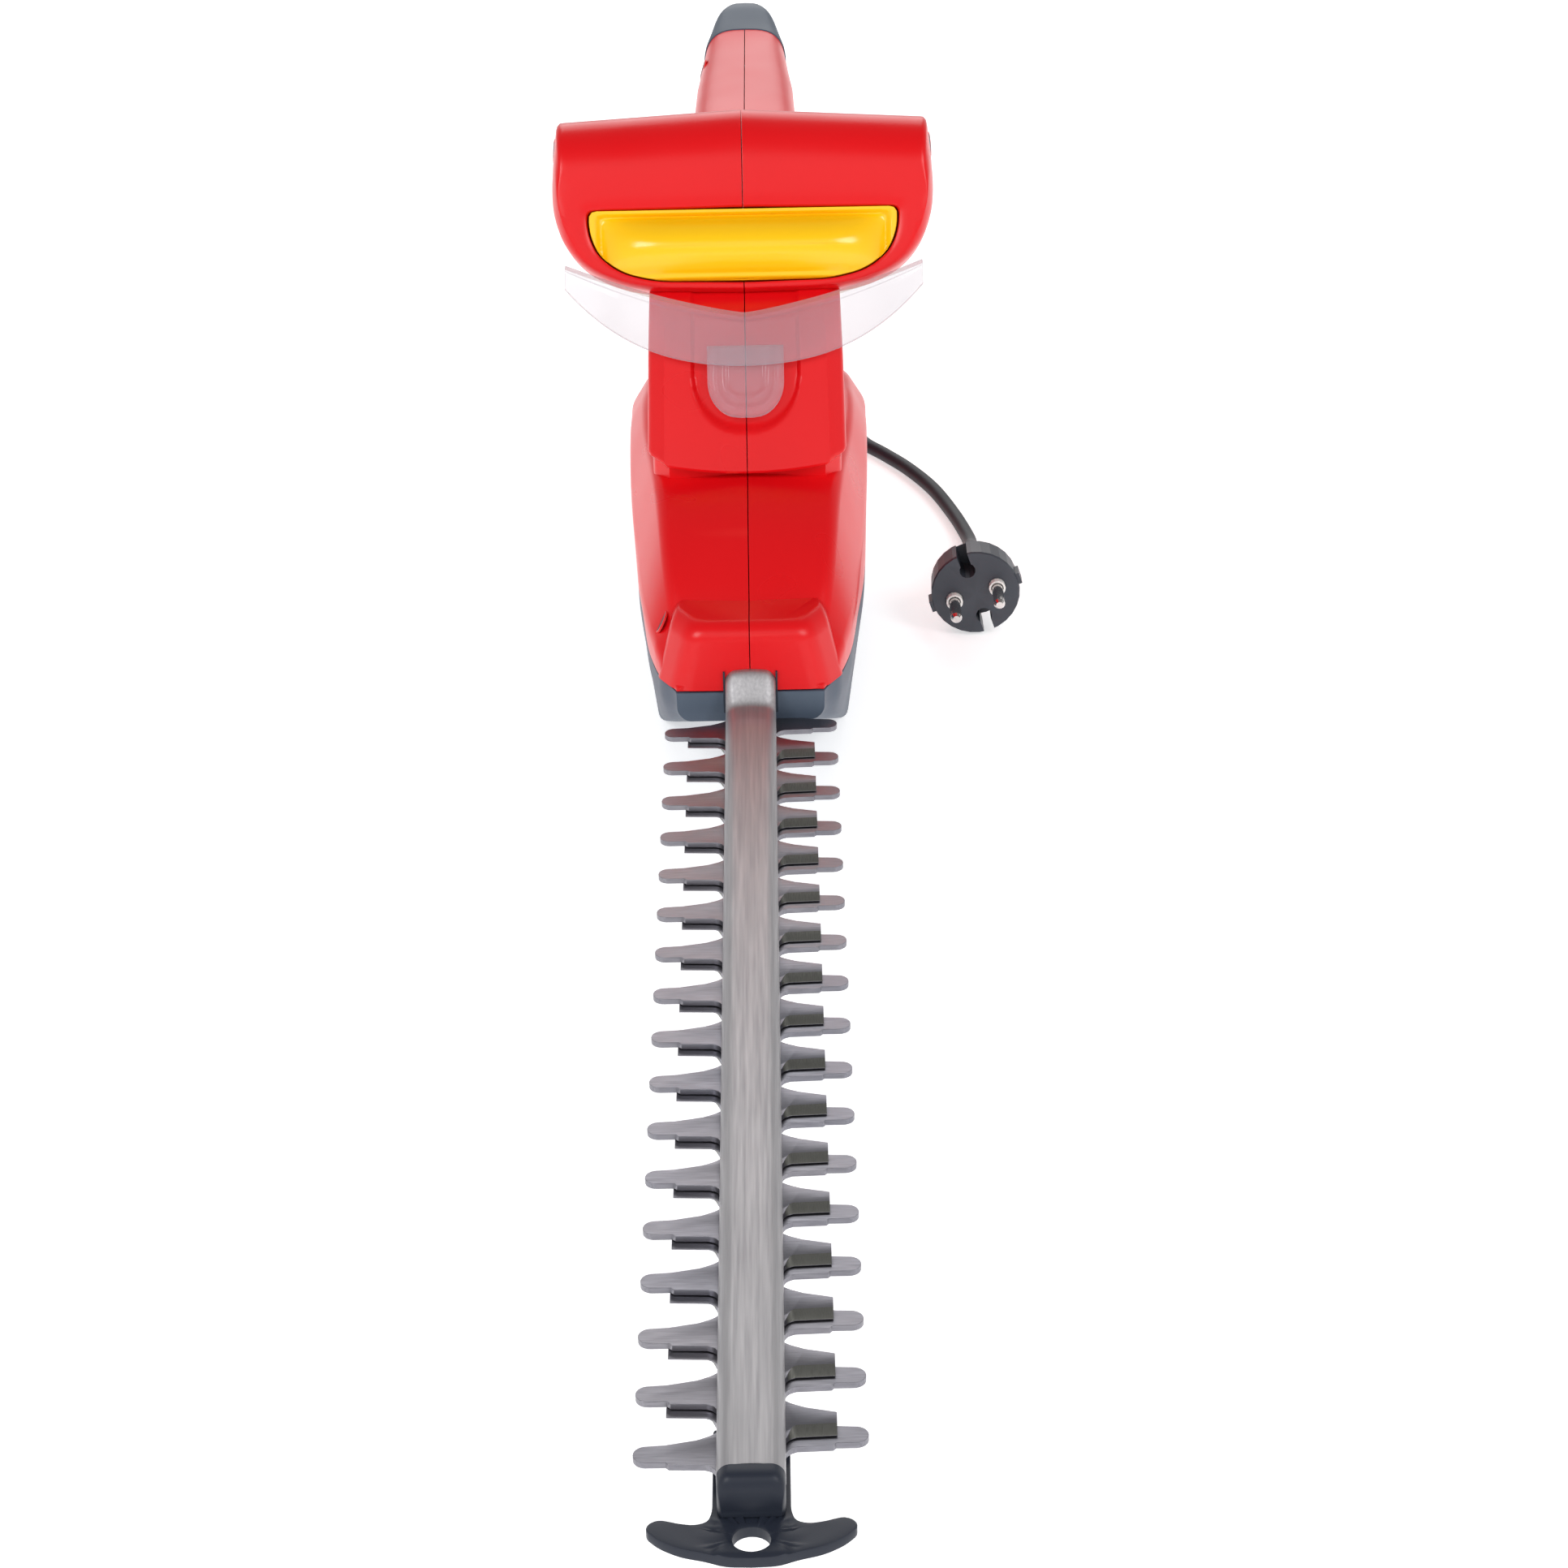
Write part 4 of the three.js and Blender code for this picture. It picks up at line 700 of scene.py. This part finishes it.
def blade_solid(side, first_long, bottom, thickness=2.0):
    """Plate between two outlines: long teeth on one side, short teeth half a pitch along on the other."""
    long_run = comb(LONG_REACH, 3.6, 3.6, False, LONG_TEETH, first_long)
    tip, rear = first_long - 7.9, first_long + TOOTH_PITCH * (LONG_TEETH - 1) + 30.0
    spine = COVER_HALF - 0.5
    levels = []
    if side < 0:
        slope = ((0.0, 0.0), (0.3, 0.0), (thickness, 3.4))
    else:
        slope = ((0.0, 3.4), (thickness - 0.3, 0.0), (thickness, 0.0))
    for height, ground in slope:
        short_run = comb(SHORT_REACH, 4.4, 3.9, True, LONG_TEETH - 1, first_long + TOOTH_PITCH / 2, ground)
        outline = np.vstack([[[spine - 2, tip]], long_run, [[spine, rear]], [[-spine, rear]],
                             (short_run * np.array([-1.0, 1.0]))[::-1], [[2 - spine, tip]]])
        outline[:, 0] *= side
        levels.append(np.column_stack([outline, np.full(len(outline), bottom + height)]))
    return closed_tube(np.array(levels))


def cover_solid():
    """Loft along y of a low arch: rounded shoulders and a flat crown, which rises where it meets the
    housing."""
    at = np.concatenate([np.linspace(COVER_TIP, NOSE - 14, 60), np.linspace(NOSE - 13.5, NOSE + 22, 40)])
    top = COVER_TOP + (67.5 - COVER_TOP) * smoothstep(-11.0, 0.5, at - NOSE)
    rows = []
    for y, z in zip(at, top):
        low = BLADE_TOP + 0.3
        h = COVER_HALF
        outline = np.array([[-h, low], [-h, z - 3.4], [-h + 2.4, z - 0.7], [0, z], [h - 2.4, z - 0.7],
                            [h, z - 3.4], [h, low]])
        curve = rounded(outline, [0.3, 1.8, 3.0, 8.0, 3.0, 1.8, 0.3], 6, closed=True)
        rows.append(np.stack([curve[:, 0], np.full(len(curve), y), curve[:, 1]], axis=1))
    return closed_tube(np.array(rows))


def end_cap_solid():
    """Loft along y of the cover's rounded end cap, which drops in a quarter ellipse to the tip."""
    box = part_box("cover_end_cap")
    rear, front = box[1][1] / MM, box[0][1] / MM
    low = box[0][2] / MM
    rows = []
    for t in np.linspace(0.0, 1.0, 26):
        y = rear + (front - rear) * t
        z = low + 5.0 + (COVER_TOP + 0.3 - low - 5.0) * math.sqrt(max(0.0, 1 - t ** 4.5))
        h = COVER_HALF - 0.1 - 1.2 * t ** 5
        outline = np.array([[-h, low], [-h, z - 3], [-h + 2.4, z - 0.5], [h - 2.4, z - 0.5], [h, z - 3],
                            [h, low]])
        outline[:, 1] = np.maximum(outline[:, 1], low)
        outline[1:5, 1] = np.maximum(outline[1:5, 1], low + 0.6)
        curve = rounded(outline, [0.4, 2.4, 3.0, 3.0, 2.4, 0.4], 6, closed=True)
        rows.append(np.stack([curve[:, 0], np.full(len(curve), y), curve[:, 1]], axis=1))
    return closed_tube(np.array(rows))


def tip_guard_solid():
    """Anchor-shaped plate with a hanging hole: rings blend its outline to the hole, and the height dips
    at the front lip, lifts in the middle channel and curls at the ears."""
    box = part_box("tip_guard")
    rear, tip, half = box[1][1] / MM, box[0][1] / MM, box[1][0] / MM
    ear = tip + 16.3
    stem = 10.7
    right = [[0, rear], [stem, rear], [stem, ear + 4], [stem + 1.2, ear - 0.6], [stem + 5, ear - 1.9],
             [stem + 10, ear - 0.9], [half - 3.4, ear + 0.8], [half - 0.5, ear - 0.6], [half, ear - 3.6],
             [half - 3.2, ear - 7.6], [half - 9, ear - 11.6], [stem + 1.5, tip + 2.6],
             [stem - 3.5, tip + 0.3], [0, tip]]
    curve = evenly(rounded(right, [1, 1, 3, 3, 4, 4, 3, 3, 4, 5, 6, 4, 3, 1], 7), 90)
    outline = np.vstack([curve, curve[1:-1][::-1] * np.array([-1.0, 1.0])])
    centre = np.array([0.0, tip + 7.4])
    away = outline - centre
    turn = np.arctan2(away[:, 1], away[:, 0])
    hole = centre + 5.2 * np.stack([np.cos(turn), np.sin(turn)], axis=1)
    low, high = box[0][2] / MM, box[1][2] / MM

    def lift(flat):
        inside = 1 - smoothstep(9.0, 10.0, np.abs(flat[:, 0]))
        channel = inside * (1 - smoothstep(tip + 16.2, tip + 16.5, flat[:, 1]))
        lip = -0.5 * (1 - smoothstep(tip, tip + 2.0, flat[:, 1]))
        return 0.8 * channel + lip - 0.8

    shares = [0.0, 0.02, 0.1, 0.3, 0.5, 0.7, 0.9, 0.97, 1.0]
    drop = [0.5, 0.08, 0, 0, 0, 0, 0, 0.08, 0.4]
    rings = []
    for share, fall in zip(shares, drop):
        flat = outline + (hole - outline) * share
        rings.append(np.column_stack([flat, high + lift(flat) - fall]))
    for share in shares[::-1]:
        flat = outline + (hole - outline) * share
        rings.append(np.column_stack([flat, np.full(len(flat), low)]))
    grid = np.array(rings)
    return grid.reshape(-1, 3), quads(*grid.shape[:2], wrap_rows=True, wrap_columns=True)


# ---------------------------------------------------------------- cord

# The cord's exit and its route to the plug, in metres.
CORD_ROUTE = [
    [-0.0112, 0.4369, 0.0109], [-0.0138, 0.4476, 0.0092], [-0.0114, 0.46, 0.0054], [0.0, 0.471, 0.0034],
    [0.0145, 0.475, 0.0034], [0.029, 0.471, 0.0034], [0.0396, 0.4605, 0.0034], [0.0435, 0.446, 0.0034],
    [0.045, 0.43, 0.0034], [0.0455, 0.415, 0.0034], [0.0474, 0.399, 0.0034], [0.053, 0.381, 0.0034],
    [0.062, 0.367, 0.0034], [0.0726, 0.349, 0.0034], [0.083, 0.325, 0.0034], [0.091, 0.296, 0.0034],
    [0.0956, 0.271, 0.0042], [0.0962, 0.254, 0.0076], [0.0954, 0.239, 0.0134], [0.0947, 0.227, 0.018],
    [0.0945, 0.2169, 0.0193],
]


def cord_line(per_span=12):
    """Catmull-Rom curve through the route's points, in the row frame."""
    pts = np.array(CORD_ROUTE) / MM + np.array([0.0, NOSE - FRONT_AS_DRAWN, 0.0])
    ends = np.vstack([2 * pts[0] - pts[1], pts, 2 * pts[-1] - pts[-2]])
    t = np.linspace(0.0, 1.0, per_span, endpoint=False)[None, :, None]
    a, b, c, d = ends[:-3, None], ends[1:-2, None], ends[2:-1, None], ends[3:, None]
    squared, cubed = 2 * a - 5 * b + 4 * c - d, 3 * b - a - 3 * c + d
    curve = 0.5 * (2 * b + (c - a) * t + squared * t ** 2 + cubed * t ** 3)
    return np.vstack([curve.reshape(-1, 3), pts[-1:]])


def tube_along(line, radius, sides=18):
    """Circle of the given radius carried along the line, square to it, with a level side vector."""
    aim = np.gradient(line, axis=0)
    aim /= np.linalg.norm(aim, axis=1, keepdims=True)
    level = np.cross(aim, np.array([0.0, 0.0, 1.0]))
    level /= np.linalg.norm(level, axis=1, keepdims=True)
    rise = np.cross(level, aim)
    turn = np.linspace(0.0, 2 * math.pi, sides, endpoint=False)[None, :, None]
    radius = np.broadcast_to(np.asarray(radius, float).reshape(-1, 1, 1), (len(line), 1, 1))
    grid = line[:, None] + radius * (level[:, None] * np.cos(turn) + rise[:, None] * np.sin(turn))
    return closed_tube(grid)


# ---------------------------------------------------------------- settings

class TrimmerColours(bpy.types.PropertyGroup):
    red: FloatVectorProperty(name="Housing", description="Colour of the two housing shells", subtype="COLOR",
                             default=(0.70, 0.003, 0.006), min=0.0, max=1.0)
    yellow: FloatVectorProperty(name="Switches", description="Colour of the switch bar and trigger",
                                subtype="COLOR", default=(0.95, 0.53, 0.003), min=0.0, max=1.0)
    grey: FloatVectorProperty(name="Base", description="Colour of the base cover and grip cap",
                              subtype="COLOR", default=(0.058, 0.08, 0.115), min=0.0, max=1.0)
    black: FloatVectorProperty(name="Tip guard", description="Colour of the tip guard and end cap",
                               subtype="COLOR", default=(0.016, 0.02, 0.032), min=0.0, max=1.0)


class TrimmerCamera(bpy.types.PropertyGroup):
    place: FloatVectorProperty(name="Place", description="Where the camera stands", subtype="TRANSLATION",
                               unit="LENGTH",
                               default=(0.01361, -1.24872 + (NOSE - FRONT_AS_DRAWN) * MM, 0.68816))
    elevation: FloatProperty(name="Elevation", description="Angle of the view below level", subtype="ANGLE",
                             default=math.radians(28.0))
    turn: FloatProperty(name="Turn", description="Angle of the view about the vertical", subtype="ANGLE",
                        default=math.radians(-0.0737))
    roll: FloatProperty(name="Roll", description="Angle of the camera about its own line of sight",
                        subtype="ANGLE", default=math.radians(-1.1245))
    lens: FloatProperty(name="Lens", description="Focal length over a 36 mm sensor", default=85.36, min=10.0)


class TrimmerSettings(bpy.types.PropertyGroup):
    colours: PointerProperty(type=TrimmerColours)
    camera: PointerProperty(type=TrimmerCamera)
    key_power: FloatProperty(name="Key light", description="Power of the front softboxes", unit="POWER",
                             default=15.0)
    sky: FloatProperty(name="Sky", description="Strength of the white surroundings", default=0.75, min=0.0)
    floor_glow: FloatProperty(name="Floor glow", description="Light given by the pale floor", default=0.55,
                              min=0.0)
    cord_sides: IntProperty(name="Cord sides", description="Number of sides of the cord's tube", default=18,
                            min=8)


# ---------------------------------------------------------------- operators

class TRIMMER_OT_stage(bpy.types.Operator):
    """Make the camera, the pale floor and the soft studio lights"""
    bl_idname = "trimmer.stage"
    bl_label = "Stage"

    def execute(self, context):
        settings = context.scene.trimmer
        finish_materials(settings.colours)
        view = settings.camera
        data = bpy.data.cameras.new("Camera")
        data.sensor_width = 36.0
        data.lens = view.lens
        data.clip_end = 50.0
        camera = bpy.data.objects.new("Camera", data)
        e, yaw, roll = view.elevation, view.turn, view.roll
        ahead = Vector((math.sin(yaw) * math.cos(e), math.cos(yaw) * math.cos(e), -math.sin(e)))
        right = Vector((math.cos(yaw), -math.sin(yaw), 0.0))
        up = right.cross(ahead)
        turned_right = right * math.cos(roll) + up * math.sin(roll)
        turned_up = up * math.cos(roll) - right * math.sin(roll)
        basis = Matrix((turned_right, turned_up, -ahead)).transposed().to_4x4()
        basis.translation = Vector(view.place)
        camera.matrix_world = basis
        context.scene.collection.objects.link(camera)
        context.scene.camera = camera

        floor = bpy.data.meshes.new("studio_floor")
        size = 30.0
        level = -0.0006
        corners = [(-size, -size, level), (size, -size, level), (size, size, level), (-size, size, level)]
        floor.from_pydata(corners, [], [(0, 1, 2, 3)])
        pale, nodes, links, shader = new_material("Studio Floor")
        shader.inputs["Base Color"].default_value = (0.93, 0.93, 0.94, 1.0)
        shader.inputs["Roughness"].default_value = 0.8
        shader.inputs["Specular IOR Level"].default_value = 0.1
        shader.inputs["Emission Color"].default_value = (1.0, 1.0, 1.0, 1.0)
        shader.inputs["Emission Strength"].default_value = settings.floor_glow
        floor.materials.append(pale)
        ground = bpy.data.objects.new("studio_floor", floor)
        context.scene.collection.objects.link(ground)

        world = bpy.data.worlds.new("Studio")
        world.use_nodes = True
        sky, wires = world.node_tree.nodes, world.node_tree.links
        place = sky.new("ShaderNodeTexCoord")
        split = sky.new("ShaderNodeSeparateXYZ")
        wires.new(place.outputs["Generated"], split.inputs["Vector"])
        glow = ranged(sky, wires, split.outputs["Z"], settings.sky, settings.sky * 0.3, 0.1, 0.85)
        wires.new(glow, sky["Background"].inputs["Strength"])
        sky["Background"].inputs["Color"].default_value = (1.0, 1.0, 1.0, 1.0)
        context.scene.world = world
        context.scene.view_settings.view_transform = "Standard"

        for name, spot, side, power in (("Left Softbox", (-1.1, -1.25, 1.55), 0.75, 1.0),
                                        ("Right Softbox", (1.2, -1.15, 1.55), 0.75, 0.9),
                                        ("Front Softbox", (0.0, -1.5, 1.45), 1.1, 0.2),
                                        ("Back Softbox", (0.0, 2.0, 1.25), 1.5, 0.9)):
            light = bpy.data.lights.new(name, "AREA")
            light.size = side
            light.energy = settings.key_power * power
            lamp = bpy.data.objects.new(name, light)
            aim = Vector((0.0, 0.05, 0.1)) - Vector(spot)
            lamp.rotation_euler = aim.to_track_quat("-Z", "Y").to_euler()
            lamp.location = spot
            context.scene.collection.objects.link(lamp)
        return {"FINISHED"}


class TRIMMER_OT_cord(bpy.types.Operator):
    """Lay the cord from its strain relief to the plug"""
    bl_idname = "trimmer.cord"
    bl_label = "Cord"

    def execute(self, context):
        sides = context.scene.trimmer.cord_sides
        line = cord_line()
        sheath = FINISHES["cord_black"]
        piece = make("free_cord", tube_along(line, 3.2, sides), sheath, "housing", ["cord"])
        return {"FINISHED"}


class TRIMMER_OT_housing(bpy.types.Operator):
    """Make the left and right housing shells"""
    bl_idname = "trimmer.housing"
    bl_label = "Housing shells"

    def execute(self, context):
        right = joined([body_half(), bulge_half(), neck_half(), pod_half(), half_ring(loop_half())])
        make("right_shell", right, FINISHES["housing_red"], "housing", ["right_housing"], 0.35)
        left = make("left_shell", mirrored(right), FINISHES["housing_red"], "housing",
                    ["left_housing"], 0.35)
        wells = []
        for number in range(1, 9):
            low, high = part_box(f"housing_screw_{number}")
            start = Vector((-0.2, (low[1] + high[1]) / 2, (low[2] + high[2]) / 2))
            found, place, normal, _ = left.ray_cast(start, Vector((1.0, 0.0, 0.0)))
            if not found:
                raise RuntimeError(f"the left shell has no side at screw {number}")
            wells.append(well(np.array(place) / MM, (-1.0, 0.0, max(0.0, normal.z)), 3.9))
        recess = in_pod(np.array([74.55, 58.0, -16.0]))
        for side in (-1.0, 1.0):
            wells.append(well(recess * np.array([side, 1.0, 1.0]), (side, -0.1, 0.1), 4.6))
        rims, shade_discs = zip(*wells)
        make("screw_rims", joined(rims), FINISHES["housing_red"], "housing")
        # The black discs are painted shade in the screw holes.
        make("screw_hole_shade", joined(shade_discs), FINISHES["guard_black"], "housing")
        return {"FINISHED"}


class TRIMMER_OT_covers(bpy.types.Operator):
    """Make the grey base cover and the grip's end cap"""
    bl_idname = "trimmer.covers"
    bl_label = "Base cover and grip cap"

    def execute(self, context):
        grey = FINISHES["base_grey"]
        make("base_cover", base_solid(), grey, "housing", ["gear_base_cover"], 0.4)
        half = loop_half(*CAP_SHARE, 0.5, 60)
        full = np.concatenate([half, (half * np.array([-1.0, 1.0, 1.0]))[:, ::-1]], axis=1)
        make("grip_cap", closed_tube(full), grey, "housing", ["rear_grip_cap"], 0.6)
        return {"FINISHED"}


class TRIMMER_OT_switches(bpy.types.Operator):
    """Make the front switch bar"""
    bl_idname = "trimmer.switches"
    bl_label = "Switches"

    def execute(self, context):
        make("switch_lever", lever_solid(), FINISHES["switch_yellow"], "switch_bar",
             ["front_switch_bar"], 0.3)
        return {"FINISHED"}


class TRIMMER_OT_guard(bpy.types.Operator):
    """Make the clear hand guard and its ribbed tab"""
    bl_idname = "trimmer.guard"
    bl_label = "Hand guard"

    def execute(self, context):
        clear = FINISHES["guard_clear"]
        make("guard_shield", guard_shield(), clear, "housing", ["hand_guard"], 0.3)
        make("guard_tab", guard_tab(), clear, "housing")
        return {"FINISHED"}


class TRIMMER_OT_blades(bpy.types.Operator):
    """Make the two toothed blades, their ground edges, the cover bar, its cap and the tip guard"""
    bl_idname = "trimmer.blades"
    bl_label = "Blades and cover"

    def execute(self, context):
        steel, ground = FINISHES["blade_steel"], FINISHES["ground_edge"]
        upper = make("upper_cutter", blade_solid(-1, FIRST_LONG_UPPER, BLADE_TOP - 2.0), steel, "upper_blade",
                     ["upper_blade"], 0.12)
        lower = make("lower_cutter", blade_solid(1, FIRST_LONG_LOWER, BLADE_BOTTOM), steel, "lower_blade",
                     ["lower_blade"], 0.12)
        for blade in (upper, lower):
            blade.data.materials.append(ground)
            tilt = np.empty(len(blade.data.polygons) * 3)
            blade.data.polygons.foreach_get("normal", tilt)
            tilt = np.abs(tilt.reshape(-1, 3)[:, 2])
            sloped = ((tilt > 0.2) & (tilt < 0.97)).astype(np.int32)
            blade.data.polygons.foreach_set("material_index", sloped)
        make("cover_bar", cover_solid(), FINISHES["cover_aluminium"], "housing",
             ["blade_cover_bar"], 0.2)
        # Painted shade: thin black slabs beside the cover bar stand for the dark gaps where it enters the
        # housing.
        near, far = COVER_HALF + 0.1, COVER_HALF + 0.8
        slots = [box_solid(side * near, side * far, NOSE - 0.06, NOSE + 14.0, 49.4, 66.5)
                 for side in (-1.0, 1.0)]
        black = FINISHES["guard_black"]
        make("cover_gap_shade", joined(slots), black, "housing")
        make("cover_cap", end_cap_solid(), black, "housing", ["cover_end_cap"], 0.3)
        make("tip_shield", tip_guard_solid(), black, "housing", ["tip_guard"])
        return {"FINISHED"}


class TRIMMER_OT_finish_nodes(bpy.types.Operator):
    """Give every carried-over piece of the frame its finish"""
    bl_idname = "trimmer.finish_nodes"
    bl_label = "Finishes"

    def execute(self, context):
        slots = {row["node"]: row["material_slot"] for row in frame["record"]["subparts"]}
        for name, piece in frame["nodes"].items():
            material = FINISHES[slots[name]]
            if not piece.material_slots:
                piece.data.materials.append(material)
            for place in piece.material_slots:
                place.material = material
            if name.startswith(("plug_", "rear_trigger", "cord_strain", "blade_bolt", "tip_guard_rivet")):
                soften = piece.modifiers.new("Edges", "BEVEL")
                soften.width = 0.3 * MM
                soften.segments = 2
                soften.limit_method = "ANGLE"
                soften.angle_limit = math.radians(40)
        return {"FINISHED"}


class TRIMMER_PT_sidebar(bpy.types.Panel):
    """The trimmer's operators and settings"""
    bl_idname = "TRIMMER_PT_sidebar"
    bl_label = "Hedge trimmer"
    bl_space_type = "VIEW_3D"
    bl_region_type = "UI"
    bl_category = "Trimmer"

    def draw(self, context):
        for operator in STEPS:
            self.layout.operator(operator.bl_idname)
        settings = context.scene.trimmer
        for name in ("key_power", "sky", "cord_sides"):
            self.layout.prop(settings, name)


STEPS = (TRIMMER_OT_stage, TRIMMER_OT_finish_nodes, TRIMMER_OT_cord, TRIMMER_OT_housing, TRIMMER_OT_covers,
         TRIMMER_OT_switches, TRIMMER_OT_guard, TRIMMER_OT_blades)
CLASSES = (TrimmerColours, TrimmerCamera, TrimmerSettings, *STEPS, TRIMMER_PT_sidebar)


def register():
    for item in CLASSES:
        bpy.utils.register_class(item)
    bpy.types.Scene.trimmer = PointerProperty(type=TrimmerSettings)


def unregister():
    del bpy.types.Scene.trimmer
    for item in reversed(CLASSES):
        bpy.utils.unregister_class(item)


def main():
    register()
    bpy.ops.trimmer.stage()
    bpy.ops.trimmer.finish_nodes()
    bpy.ops.trimmer.cord()
    bpy.ops.trimmer.housing()
    bpy.ops.trimmer.covers()
    bpy.ops.trimmer.switches()
    bpy.ops.trimmer.guard()
    bpy.ops.trimmer.blades()


if __name__ == "__main__":
    main()
